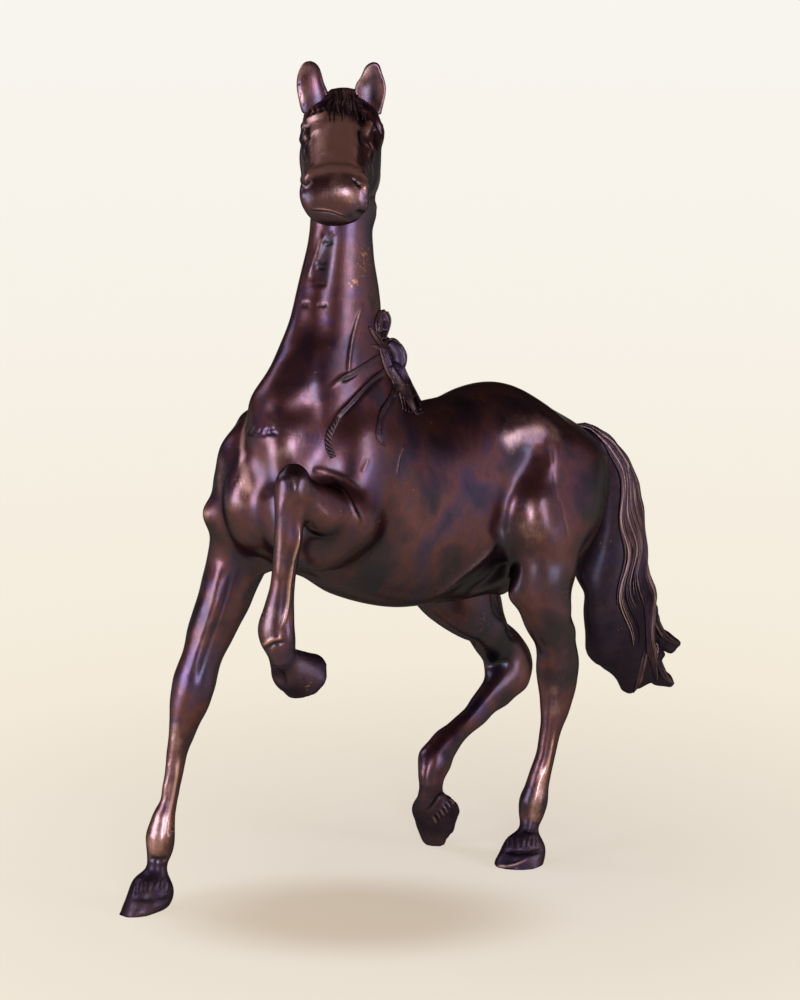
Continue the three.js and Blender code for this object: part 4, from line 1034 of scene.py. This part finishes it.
def strand(path, sizes, facing=back_to_eye, sides=8, flat=0.85, brightening=0.3):
    """A tapered strand of hair along a path, worn on its outer side and dark where it meets its neighbours."""
    places = np.linspace(0, len(path) - 1, len(sizes))
    rows = [(place, size, size * flat, size * flat) for place, size in zip(places, sizes)]
    rings = limb_rings(path, rows, facing, sides, max(4, math.ceil(2 * len(path) / (len(sizes) - 1))))
    form = wrap("strand", rings)
    push = np.append(np.tile(np.sin(2 * np.pi * np.arange(sides) / sides), len(rings)), [0, 0])
    for name, values in (("rub", brightening * np.clip(push, 0, 1)), ("grime", 0.9 * np.clip(0.2 - push, 0, 1))):
        field = form.data.attributes.new(name, "FLOAT", "POINT")
        field.data.foreach_set("value", values.astype(np.float32))
    return form


def bundle(path, size, count=3, twist=1.0, spread=0.75, facing=back_to_eye, ends=(0.7, 0.25)):
    """Several strands wound round a path: a lock, thickest near its middle."""
    shares = np.linspace(0, 1, 5 * len(path))
    line = between(path, shares * (len(path) - 1))
    run = unit(np.gradient(line, axis=0))
    side = unit(np.cross(run, facing))
    front = np.cross(side, run)
    thick = size * np.interp(shares, (0, 0.35, 1), (ends[0], 1, ends[1]))
    forms = []
    for one in range(count):
        turn = 2 * np.pi * (one / count + twist * shares)
        wind = side * np.cos(turn)[:, None] + front * np.sin(turn)[:, None] * 0.7
        route = line + wind * (thick * spread)[:, None]
        forms.append(strand(route[::2], (thick * min(0.68, 2.2 / count))[::2], facing))
    if count > 3:
        forms.append(strand(line[::2], (thick * 0.6)[::2], facing, brightening=0))
    return forms


def sheaf(spots, half, count, size, ends=(0.6, 0.2)):
    """Strands side by side over the wax: a flat lock, so many pixels wide to each side."""
    forms = []
    flat = np.array(spots, float)
    run = unit(np.gradient(flat[:, :2], axis=0))
    wide = half * np.interp(np.linspace(0, 1, len(spots)), (0, 0.4, 1), (ends[0], 1, ends[1]))
    for side in np.linspace(-1, 1, count):
        moved = flat.copy()
        moved[:, 0] += side * wide * run[:, 1]
        moved[:, 1] -= side * wide * run[:, 0]
        moved[:, 0] += rng.uniform(-0.7, 0.7, len(spots))
        moved[:, 2] += rng.uniform(-0.2, 0.6, len(spots))
        one = size * rng.uniform(0.8, 1.2)
        forms.append(strand(laid(moved), [0.7 * one, one, 0.9 * one, 0.35 * one], brightening=rng.uniform(0, 0.5)))
    return forms


def flow_on(rings, start, end, angle, drift, sway):
    """A strand's path over a ringed form. Neighbours share their waves, as combed hair does."""
    path = []
    around = rings.shape[1]
    for share in np.linspace(0, 1, 18):
        along = start + (end - start) * share
        ring = between(rings.reshape(len(rings), -1), along * (len(rings) - 1))[0].reshape(around, 3)
        wave = sway * math.sin(2 * math.pi * (4.6 * along + 0.3 * angle))
        turn = (angle + drift * share + wave) / (2 * math.pi) * around
        at = int(math.floor(turn))
        path.append(ring[at % around] * (1 - turn + at) + ring[(at + 1) % around] * (turn - at))
    return path


def over(tree, path, lift):
    """A path brought onto a skin and lifted off it, and which way is out at its middle."""
    found = [tree.find_nearest(Vector(point)) for point in path]
    return [np.array(hit[0]) + lift * np.array(hit[1]) for hit in found], np.array(found[len(found) // 2][1])


def tuft(forms, name):
    """Lays strands together as one casting."""
    pick(*forms)
    bpy.ops.object.join()
    lock = bpy.context.object
    lock.name = name + "_cast"
    castings[name] = lock


# Tail: a full core, long strands flowing over its outer side, a smoother fan inside, three tips
TAIL_ROUTE = [(0, 150, 268), (2, 175, 267), (6, 189, 254), (8, 196, 226), (8, 200, 196), (8, 203, 164),
              (8, 208, 130), (8, 220, 102), (9, 230, 84)]
TAIL_ROWS = [(0, 9, 10, 9), (1, 11, 13, 9), (2, 13, 16, 11), (3, 14, 20, 17), (4, 16, 27, 21), (5, 17, 36, 23),
             (6, 17, 36, 21), (7, 14, 25, 14), (8, 8, 9, 8)]
TAIL_TIPS = [
    [(8, 222, 136), (8, 243, 118), (8, 265, 107)], [(8, 226, 112), (9, 243, 92), (9, 260, 78)],
    [(8, 212, 114), (8, 212, 92), (8, 215, 76)],
]
TAIL_LOCKS = 92
STRANDS_A_LOCK = 4
tail_rings = limb_rings(TAIL_ROUTE, TAIL_ROWS, FORWARD, 56, 6)
tail_forms = [wrap("tail_core", tail_rings)]
for tip in TAIL_TIPS:
    tail_forms.append(strand(tip, [12, 9, 2.2]))
    tail_forms += bundle([np.array(spot, float) for spot in tip], 8, 5, 0.3, 0.9, ends=(1, 0.2))
tail_work = Wax(fuse(tail_forms, HAIR_GRAIN, "tail_core"))
tail_work.smooth(2)
tail_work.draw_out([
    (585, 556, -9, 4, 16), (587, 578, -6, 2, 14), (605, 429, -2, 1, 10), (622, 444, -3, 1, 12), (651, 588, 2, 0, 12),
    (652, 606, 5, 0, 10), (666, 628, -3, 1, 6), (667, 661, -6, 0, 5), (607, 677, 3, -6, 10), (591, 653, -4, 0, 10),
    (647, 690, 3, -6, 7), (629, 700, 0, -7, 8), (643, 500, -2, 0, 14), (650, 545, -5, 0, 14), (610, 678, 4, -3, 8),
    (660, 646, 4, 3, 5), (634, 466, -2, 1, 10), (599, 427, 0, 2, 10), (624, 448, -2, 0, 10), (646, 523, -2, 0, 12),
    (653, 572, -4, 0, 10), (659, 602, -2, 1, 8), (663, 624, -2, 1, 6), (660, 649, 5, 4, 6), (669, 669, -4, 1, 6),
    (610, 673, 0, -2, 8), (645, 687, -1, -4, 8), (590, 424, 0, -2, 10), (627, 460, 1, -2, 10), (636, 482, 2, 0, 10),
    (641, 508, 3, 0, 10), (645, 544, 3, 0, 10), (649, 571, 2, 0, 9), (654, 596, 4, 0, 9), (666, 650, 3, 2, 6),
    (601, 665, 0, 2, 8), (658, 683, -2, 2, 7), (633, 691, 0, 2, 7), (586, 588, 5, -2, 10), (590, 620, 3, 0, 10),
    (643, 528, 2, 0, 9), (645, 554, 2, 0, 9), (584, 590, 4, 0, 9), (655, 604, 2, 0, 8), (677, 643, 3, 0, 6),
    (665, 665, -3, 1, 6), (611, 674, 1, -2, 8), (644, 686, -2, -2, 7), (659, 607, -2, 0, 7), (665, 650, 2, 2, 6),
])
tail_work.grime += 0.6
tail_work.weather(7, 1.4, 3)
tail_work.mark()
tail_skin = tree_of(tail_work.form)
strands = [tail_work.form]
# Half a turn round the tail is its left side, three quarters its outer one
for lock in range(TAIL_LOCKS):
    high = lock % 3 == 0
    angle = rng.uniform(2.6, 4.6) if high else rng.uniform(3.0, 5.9)
    inner = angle < 3.35 and not high
    start = rng.uniform(0, 0.2) if high else rng.uniform(0.05, 0.55)
    length, drift, sway = rng.uniform(0.3, 0.55), rng.uniform(-0.08, 0.2), rng.uniform(0.08, 0.14)
    for one in range(STRANDS_A_LOCK):
        size = rng.uniform(0.5, 0.8) if inner else rng.uniform(0.6, 1.1)
        begin = start + rng.uniform(0, 0.06)
        path = flow_on(tail_rings, begin, min(begin + length, 0.97), angle + 0.07 * one,
                       drift + rng.uniform(-0.05, 0.05), sway)
        path, out = over(tail_skin, path, rng.uniform(0.3, 1.0) * size)
        strands.append(strand(path, [0.3 * size, size, size, 0.9 * size, 0.3 * size], out, 6,
                              brightening=rng.uniform(0, 0.3) if inner else rng.choice([0, 0.25, 0.5, 0.8])))
for tip in TAIL_TIPS:
    for one in range(7):
        stray = rng.uniform(-4, 4, 3)
        path = [np.array(spot) + stray * (1 - 0.4 * k) + (9, 0, 0) for k, spot in enumerate(tip)]
        path, out = over(tail_skin, path, 0.3)
        strands.append(strand(path, [0.5, 1.3, 1.1, 0.4], (1, 0, 0), 7, brightening=rng.uniform(0, 0.5)))
tuft(strands, "tail")

# Mane: a low crest up the neck, a knot of curls at the withers, and locks laid on the left shoulder
BEHIND = -FORWARD
crest = [on_trunk(place, -8, -0.6) for place in (17.6, 16.5, 15, 13.5, 12, 10.8, 9.8)]
MANE = {
    "mane_crest": [strand(crest, [1.2, 1.8, 2.2, 2.4, 2.4, 2, 1], BEHIND, brightening=0)]
    + bundle(crest, 2, 4, 3.0, 1.0, BEHIND)
    + [strand(laid([(381, 312, -1), (384, 319, -1), (383, 331, -1)]), [2.6, 3.8, 3.2], flat=0.5, brightening=0)]
    + sheaf([(379, 332, 0.3), (379, 322, 1), (381, 314, 1.4), (385, 311, 1)], 2.8, 6, 0.9, (1, 0.6))
    + sheaf([(385, 312, 1), (387, 320, 1.4), (386, 329, 1), (384, 339, 0.4)], 2.8, 6, 0.9, (0.6, 0.6))
    + [strand(laid([(388, 343, -1), (395, 351, -1), (397, 364, -1), (393, 377, -1)]), [3.4, 5.4, 5.2, 3], flat=0.5,
              brightening=0)]
    + sheaf([(385, 350, 1), (389, 344, 2), (394, 342, 2.4), (399, 346, 2)], 3.4, 7, 0.9, (0.8, 0.7))
    + sheaf([(399, 345, 2), (402, 355, 2.4), (401, 366, 2), (396, 376, 1)], 3.4, 7, 0.9, (0.7, 0.6))
    + sheaf([(387, 350, 2), (392, 356, 3), (395, 365, 2.6), (391, 374, 1.4)], 5, 10, 0.85, (0.7, 0.6)),
    "mane_lock_curl": [strand(laid([(384, 348, 0), (388, 364, 0.6), (395, 382, 0.6), (393, 397, 0)]),
                              [1.8, 3, 2.6, 1.4], brightening=0)]
    + sheaf([(382, 346, 1), (386, 358, 2), (391, 370, 2), (397, 383, 2), (394, 397, 1.6)], 4.5, 9, 0.85, (0.7, 0.7))
    + sheaf([(396, 390, 1.6), (390, 402, 1.6), (384, 411, 1.2), (380, 423, 1), (379, 435, 0.8), (383, 444, 0.4)],
            3.2, 6, 0.9, (1, 0.6))
    + [strand(laid([(379, 430, 0.5), (380, 440, 0.5), (385, 446, 0)]), [1.2, 1.1, 0.6])],
    "mane_lock_withers": [strand(laid([(393, 362, -2), (402, 380, -2), (411, 396, -2), (420, 410, -1)]),
                                 [3.2, 5, 4.2, 1.4], flat=0.5, brightening=0)]
    + [strand(laid([(388, 366, -2), (397, 384, -2), (406, 399, -2), (414, 411, -2)]), [3, 5, 4.4, 2], brightening=0)]
    + sheaf([(389, 354, 1.6), (395, 368, 2.2), (403, 383, 2), (411, 399, 1), (420, 414, 0.4)], 8, 16, 0.85,
            (0.7, 0.45))
    + sheaf([(398, 362, 2.4), (405, 379, 2.2), (415, 396, 1.4), (431, 423, 0.5)], 4, 9, 0.9, (0.8, 0.15))
    + [strand(laid([(395 + 3 * k, 380 + k, 1), (400 + 3 * k, 396 + k, 0.5), (403 + 3 * k, 410 + k, 0)]),
              [0.8, 0.8, 0.4]) for k in range(5)],
    "mane_lock_upper": sheaf([(369, 327, 0.2), (376, 337, 0.8), (383, 347, 1.4), (387, 356, 1.4)], 2.2, 6, 0.7,
                             (0.3, 0.8))
    + sheaf([(388, 338, 1.4), (380, 347, 0.9), (372, 345, 0.3)], 2, 3, 0.9, (0.8, 0.4))
    + [strand(laid([(386, 352, 0.8), (376, 357, 0), (366, 363, -0.1), (353, 371, -0.1), (341, 378, -0.1),
                    (328, 391, -0.3)]), [1.3, 1.1, 1, 0.9, 0.9, 0.4])],
    "mane_lock_lower": [strand(laid([(388, 366, 0.8), (377, 375, 0), (364, 387, -0.1), (350, 402, -0.1),
                                     (338, 415, 0.1), (333, 424, 0.3)]), [1.3, 1.1, 1, 1, 1, 1.1])]
    + bundle(laid([(338, 417, 0.6), (333, 427, 0.8), (329, 437, 0.8), (329, 448, 0.8), (333, 457, 0.4)]), 1.9, 4,
             2.6, 0.9, ends=(0.7, 0.8)),
}
# The right side of the neck, which the photograph hides: four locks by station and turn from the top line
ASIDE = np.array([-1.0, 0.2, 0.4])
for name, spots in {
    "mane_right_front": [(17.4, -15, 0), (16.6, -30, 1), (16, -60, 1), (15.4, -85, 0)],
    "mane_right_upper": [(15.9, -15, 0), (15.1, -30, 1), (14.4, -60, 1), (13.7, -75, 0)],
    "mane_right_middle": [(14.3, -15, 0), (13.5, -25, 1), (12.6, -50, 1), (11.9, -65, 0)],
    "mane_right_lower": [(12.6, -15, 0), (11.8, -25, 1), (11, -45, 1), (10.4, -70, 0)],
}.items():
    path = [on_trunk(*spot) for spot in spots]
    beside = [spot + (0, 5, 2) for spot in path]
    MANE[name] = bundle(path, 4.4, 8, 0.5, 0.8, ASIDE) + bundle(beside, 3, 6, -0.4, 0.8, ASIDE)
# Forelock: wisps from the poll down over the brow
MANE["forelock"] = []
for side in np.linspace(0, 1, 24):
    root, end = 331 + 25 * side + rng.uniform(-1.5, 1.5), 327 + 38 * side + rng.uniform(-3.5, 3.5)
    start = wax.place(tuple(on_head(-8, 20 * (side - 0.5), 30)))[0]
    path = laid([(root, 91, 0.1), (root + 1, 98, 0.4), (0.4 * root + 0.6 * end + rng.uniform(-2.5, 2.5), 106, 0.5),
                 (end, rng.uniform(110, 124), 0.1)])
    MANE["forelock"].append(strand([start] + path, [0.5, 0.9, 0.9, 0.7, 0.3], head_up, brightening=rng.uniform(0.1, 0.8)))
for name, forms in MANE.items():
    tuft(forms, name)
for name in ("tail", "forelock", "ear_left", "ear_right", *(name for name in castings if name.startswith("mane"))):
    pick(castings[name])
    bpy.ops.object.shade_smooth()


# Finishes
def linear(code):
    """An sRGB hex colour as linear light, with alpha."""
    parts = [int(code[at:at + 2], 16) / 255 for at in (1, 3, 5)]
    return tuple(c / 12.92 if c <= 0.04045 else ((c + 0.055) / 1.055) ** 2.4 for c in parts) + (1.0,)


def add_node(tree, kind, settings=None, links=None):
    """Adds a node. Settings are its properties or inputs, links are its inputs' sources."""
    node = tree.nodes.new(kind)
    for name, value in (settings or {}).items():
        if isinstance(name, int):
            node.inputs[name].default_value = value
        elif name == "stops":
            ramp = node.color_ramp.elements
            while len(ramp) < len(value):
                ramp.new(0.5)
            for element, (position, colour) in zip(ramp, value):
                element.position, element.color = position, linear(colour)
        elif hasattr(node, name):
            setattr(node, name, value)
        else:
            node.inputs[name].default_value = value
    for name, source in (links or {}).items():
        tree.links.new(source, node.inputs[name])
    return node


def fresh_material(name):
    material = bpy.data.materials.new(name)
    material.use_nodes = True
    material.node_tree.nodes.clear()
    return material, material.node_tree


def antique_brass(name, clouds, hollow_and_shade, bare, gloss, lacquer, streak):
    """Cast brass, browned with a chemical patina, rubbed back on the high places and lacquered.

    The eye sees clouds of red and purple brown, near black in the hollows and where shade is painted,
    bare copper-coloured metal where it was rubbed and where highlights are painted, and a soft bright
    sheen over all of it.
    """
    material, tree = fresh_material(name)
    place = add_node(tree, "ShaderNodeTexCoord").outputs["Object"]
    rub = add_node(tree, "ShaderNodeAttribute", {"attribute_name": "rub"}).outputs["Fac"]
    grime = add_node(tree, "ShaderNodeAttribute", {"attribute_name": "grime"}).outputs["Fac"]

    # Patina clouds, about 45 mm across, broken by 9 mm mottling
    cloud = add_node(tree, "ShaderNodeTexNoise", {
        "Scale": 22.0, "Detail": 8.0, "Roughness": 0.52, "Distortion": 0.25}, {"Vector": place}).outputs["Fac"]
    tone = add_node(tree, "ShaderNodeValToRGB", {"stops": clouds}, {"Fac": cloud}).outputs["Color"]
    mottle = add_node(tree, "ShaderNodeTexNoise", {"Scale": 110.0, "Detail": 6.0, "Roughness": 0.7},
                      {"Vector": place}).outputs["Fac"]
    mottle_share = add_node(tree, "ShaderNodeMapRange", {"From Min": 0.42, "From Max": 0.75, "To Max": 0.55},
                            {"Value": mottle}).outputs["Result"]
    tone = add_node(tree, "ShaderNodeMix", {"data_type": "RGBA", "blend_type": "MULTIPLY", 7: linear("#6d5560")},
                    {0: mottle_share, 6: tone}).outputs[2]

    # Polishing streaks, 1 mm apart and 15 mm long, drawn coarser than the real scratches so that they show
    drawn = add_node(tree, "ShaderNodeMapping", {"Scale": streak}, {"Vector": place}).outputs["Vector"]
    scratch = add_node(tree, "ShaderNodeTexNoise", {"Scale": 1.0, "Detail": 3.0, "Roughness": 0.6},
                       {"Vector": drawn}).outputs["Fac"]

    # Rubbed places and the highlights painted in the same bare colour: the wear, broken up by mottling and scratches
    brightening = add_node(tree, "ShaderNodeMath", {"operation": "MULTIPLY_ADD", 1: 0.9, 2: -0.45},
                    {0: mottle}).outputs["Value"]
    brightening = add_node(tree, "ShaderNodeMath", {"operation": "MULTIPLY_ADD", 1: 0.3},
                    {0: scratch, 2: brightening}).outputs["Value"]
    brightening = add_node(tree, "ShaderNodeMath", {"operation": "MULTIPLY_ADD", 1: 1.0}, {0: rub, 2: brightening}).outputs["Value"]
    brightening = add_node(tree, "ShaderNodeMapRange", {
        "From Min": 0.22, "From Max": 1.3, "interpolation_type": "SMOOTHSTEP"}, {"Value": brightening}).outputs["Result"]
    tone = add_node(tree, "ShaderNodeMix", {"data_type": "RGBA", 7: linear(bare)}, {0: brightening, 6: tone}).outputs[2]

    # Specks of bare brass, about 1 mm, in drifts
    speck = add_node(tree, "ShaderNodeTexNoise", {"Scale": 620.0, "Detail": 1.0}, {"Vector": place}).outputs["Fac"]
    drift = add_node(tree, "ShaderNodeTexNoise", {"Scale": 34.0, "Detail": 2.0}, {"Vector": place}).outputs["Fac"]
    both = add_node(tree, "ShaderNodeMath", {"operation": "MULTIPLY"}, {0: speck, 1: drift}).outputs["Value"]
    speck = add_node(tree, "ShaderNodeMapRange", {"From Min": 0.45, "From Max": 0.49, "To Max": 0.5},
                     {"Value": both}).outputs["Result"]
    tone = add_node(tree, "ShaderNodeMix", {"data_type": "RGBA", 7: linear("#b97f4c")},
                    {0: speck, 6: tone}).outputs[2]

    # Dark patina left in the hollows, and painted shade in the same dark colour
    darkening = add_node(tree, "ShaderNodeMath", {"operation": "MULTIPLY", 1: 0.9, "use_clamp": True},
                     {0: grime}).outputs["Value"]
    tone = add_node(tree, "ShaderNodeMix", {"data_type": "RGBA", 7: linear(hollow_and_shade)}, {0: darkening, 6: tone}).outputs[2]

    haze = add_node(tree, "ShaderNodeMapRange", {"From Min": 0.3, "From Max": 0.7, "To Min": gloss - 0.07,
                                                 "To Max": gloss + 0.09}, {"Value": mottle}).outputs["Result"]
    rough = add_node(tree, "ShaderNodeMath", {"operation": "MULTIPLY_ADD", 1: 0.28},
                     {0: darkening, 2: haze}).outputs["Value"]

    # Cast grain of about 1 mm under the lacquer, with the scratches
    grain = add_node(tree, "ShaderNodeTexNoise", {"Scale": 700.0, "Detail": 3.0}, {"Vector": place}).outputs["Fac"]
    relief = add_node(tree, "ShaderNodeMath", {"operation": "MULTIPLY_ADD", 1: 0.5}, {0: scratch, 2: grain})
    bump = add_node(tree, "ShaderNodeBump", {"Strength": 0.16, "Distance": 0.0006},
                    {"Height": relief.outputs["Value"]}).outputs["Normal"]
    # The lacquer's gloss is kept off the grazing faces, which stay dark on the real one
    turned = add_node(tree, "ShaderNodeLayerWeight", {"Blend": 0.5}).outputs["Facing"]
    coat = add_node(tree, "ShaderNodeMapRange", {"From Min": 0.3, "From Max": 0.75, "To Min": lacquer, "To Max": 0.03},
                    {"Value": turned}).outputs["Result"]
    shader = add_node(
        tree, "ShaderNodeBsdfPrincipled",
        {"Metallic": 0.9, "Specular Tint": linear("#3c2b3e"), "Coat Roughness": 0.27, "Coat IOR": 1.5},
        {"Base Color": tone, "Roughness": rough, "Normal": bump, "Coat Weight": coat},
    )
    add_node(tree, "ShaderNodeOutputMaterial", None, {"Surface": shader.outputs["BSDF"]})
    return material


# The body: brown brass under glossy lacquer
body_finish = antique_brass(
    "lacquered_antique_brass",
    [(0.34, "#1f1119"), (0.43, "#3b1f26"), (0.52, "#5b3129"), (0.6, "#472a3a"), (0.7, "#2d1d30")],
    "#100a0e", "#c4957c", 0.34, 0.55, (900.0, 900.0, 60.0))
# Hooves and hair: darker, drier patina with brassy crests
dark_finish = antique_brass(
    "dry_dark_patina",
    [(0.3, "#261b22"), (0.45, "#3a2a31"), (0.55, "#483432"), (0.65, "#3c2d38"), (0.75, "#30242f")],
    "#110c10", "#a5836f", 0.47, 0.12, (500.0, 500.0, 90.0))
# The hidden dowels and sleeves: plain brass rod and tube, turned, straw yellow
pin_finish = antique_brass(
    "turned_brass_rod",
    [(0.3, "#8f6d38"), (0.5, "#a98245"), (0.7, "#bd9650")],
    "#4a3718", "#cfa860", 0.3, 0.0, (900.0, 900.0, 60.0))

# The castings keep just inside the box of the solid model, and the hooves on its floor
inner_low, inner_high = np.array(cad_low) + (1e-4, 1e-4, 1e-6), np.array(cad_high) - 1e-4
for label, form in castings.items():
    dark = label.startswith(("hoof", "mane", "tail", "forelock"))
    corners = np.empty(3 * len(form.data.vertices), dtype=np.float32)
    form.data.vertices.foreach_get("co", corners)
    corners = np.clip(corners.reshape(-1, 3), inner_low, inner_high)
    form.data.vertices.foreach_set("co", corners.ravel())
    form.data.update()
    form.data.materials.clear()
    form.data.materials.append(dark_finish if dark else body_finish)
    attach(form, "root")
    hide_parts(label)
for label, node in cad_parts.items():
    if label not in castings:
        node.data.materials.clear()
        node.data.materials.append(pin_finish)

# Studio
pick_nothing()
bpy.ops.mesh.primitive_plane_add(size=60, location=(0, 0, 0))
floor = bpy.context.object
floor.name = "studio_floor"
floor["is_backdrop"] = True
# Matt cream paper, warmer close to the statue and paler far behind it
paper, tree = fresh_material("cream_paper")
place = add_node(tree, "ShaderNodeTexCoord").outputs["Object"]
far = add_node(tree, "ShaderNodeVectorMath", {"operation": "LENGTH"}, {0: place}).outputs["Value"]
far = add_node(tree, "ShaderNodeMapRange", {"From Max": 14.0}, {"Value": far}).outputs["Result"]
far = add_node(tree, "ShaderNodeMath", {"operation": "POWER", 1: 0.5}, {0: far}).outputs["Value"]
cream = add_node(tree, "ShaderNodeValToRGB", {"stops": [
    (0.1, "#f2e7d3"), (0.25, "#f6eedf"), (0.42, "#f9f4ea"), (0.8, "#faf7f0")]}, {"Fac": far}).outputs["Color"]
# The painted pool of shadow in front of the hooves, 280 mm by 170 mm
painted_shadow = add_node(tree, "ShaderNodeMapping", {
    "vector_type": "TEXTURE", "Location": tuple(metres((31, -84, 0)) * (1, 1, 0)), "Rotation": (0, 0, AZIMUTH),
    "Scale": (0.138, 0.085, 1)}, {"Vector": place}).outputs["Vector"]
painted_shadow = add_node(tree, "ShaderNodeVectorMath", {"operation": "LENGTH"}, {0: painted_shadow}).outputs["Value"]
painted_shadow = add_node(tree, "ShaderNodeMapRange", {
    "From Min": 0.35, "From Max": 1.1, "To Min": 1.0, "To Max": 0.0, "interpolation_type": "SMOOTHSTEP"},
    {"Value": painted_shadow}).outputs["Result"]
cream = add_node(tree, "ShaderNodeMix", {"data_type": "RGBA", "blend_type": "MULTIPLY", 7: linear("#e4ddd3")},
                 {0: painted_shadow, 6: cream}).outputs[2]
matt = add_node(tree, "ShaderNodeBsdfDiffuse", None, {"Color": cream}).outputs["BSDF"]
glow = add_node(tree, "ShaderNodeEmission", {"Strength": 1.0}, {"Color": cream}).outputs["Emission"]
path = add_node(tree, "ShaderNodeLightPath")
seen = add_node(tree, "ShaderNodeMath", {"operation": "MAXIMUM"},
                {0: path.outputs["Is Camera Ray"], 1: path.outputs["Is Glossy Ray"]}).outputs["Value"]
seen = add_node(tree, "ShaderNodeMath", {"operation": "MAXIMUM"},
                {0: seen, 1: path.outputs["Is Transmission Ray"]}).outputs["Value"]
share = add_node(tree, "ShaderNodeMapRange", {"From Min": 0.08, "From Max": 0.19, "To Min": 0.68, "To Max": 0.98},
                 {"Value": far}).outputs["Result"]
seen = add_node(tree, "ShaderNodeMath", {"operation": "MULTIPLY"}, {0: seen, 1: share}).outputs["Value"]
mixed = add_node(tree, "ShaderNodeMixShader", None, {0: seen, 1: matt, 2: glow}).outputs["Shader"]
add_node(tree, "ShaderNodeOutputMaterial", None, {"Surface": mixed})
floor.data.materials.append(paper)

# Studio air: pale at eye height, dimmer overhead
world = bpy.data.worlds.new("studio_air")
bpy.context.scene.world = world
world.use_nodes = True
tree = world.node_tree
way = add_node(tree, "ShaderNodeTexCoord").outputs["Generated"]
height = add_node(tree, "ShaderNodeSeparateXYZ", None, {"Vector": way}).outputs["Z"]
air = add_node(tree, "ShaderNodeValToRGB", {"stops": [
    (0.0, "#94776a"), (0.35, "#765f57"), (1.0, "#5a4c4e")]}, {"Fac": height}).outputs["Color"]
tree.links.new(air, tree.nodes["Background"].inputs["Color"])
tree.nodes["Background"].inputs["Strength"].default_value = 1.0

# Softboxes with a cool white cloth: name, place, size, power in watts. All point at the statue's middle.
STATUE_MIDDLE = Vector((0, 0, 0.28))
for name, place, size, power in (
    ("front_softbox", (-0.42, -1.26, 0.3), (0.62, 0.56), 14),
    ("camera_softbox", (1.76, -1.48, 0.58), (0.58, 0.85), 40),
    ("side_softbox", (1.15, 0.4, 0.4), (0.4, 0.85), 11),
    ("rear_softbox", (1.0, 1.5, 0.55), (1.1, 0.7), 2),
    ("right_softbox", (-1.25, -0.5, 1.1), (0.5, 0.9), 7),
):
    pick_nothing()
    bpy.ops.object.light_add(type="AREA", location=place)
    lamp = bpy.context.object
    lamp.name = name
    lamp.data.shape = "RECTANGLE"
    lamp.data.size, lamp.data.size_y = size
    lamp.data.energy = power
    lamp.data.color = linear("#c9d2ff")[:3]
    lamp.rotation_euler = (STATUE_MIDDLE - Vector(place)).to_track_quat("-Z", "Y").to_euler()

bpy.context.scene.view_settings.view_transform = "Standard"
low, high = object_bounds()
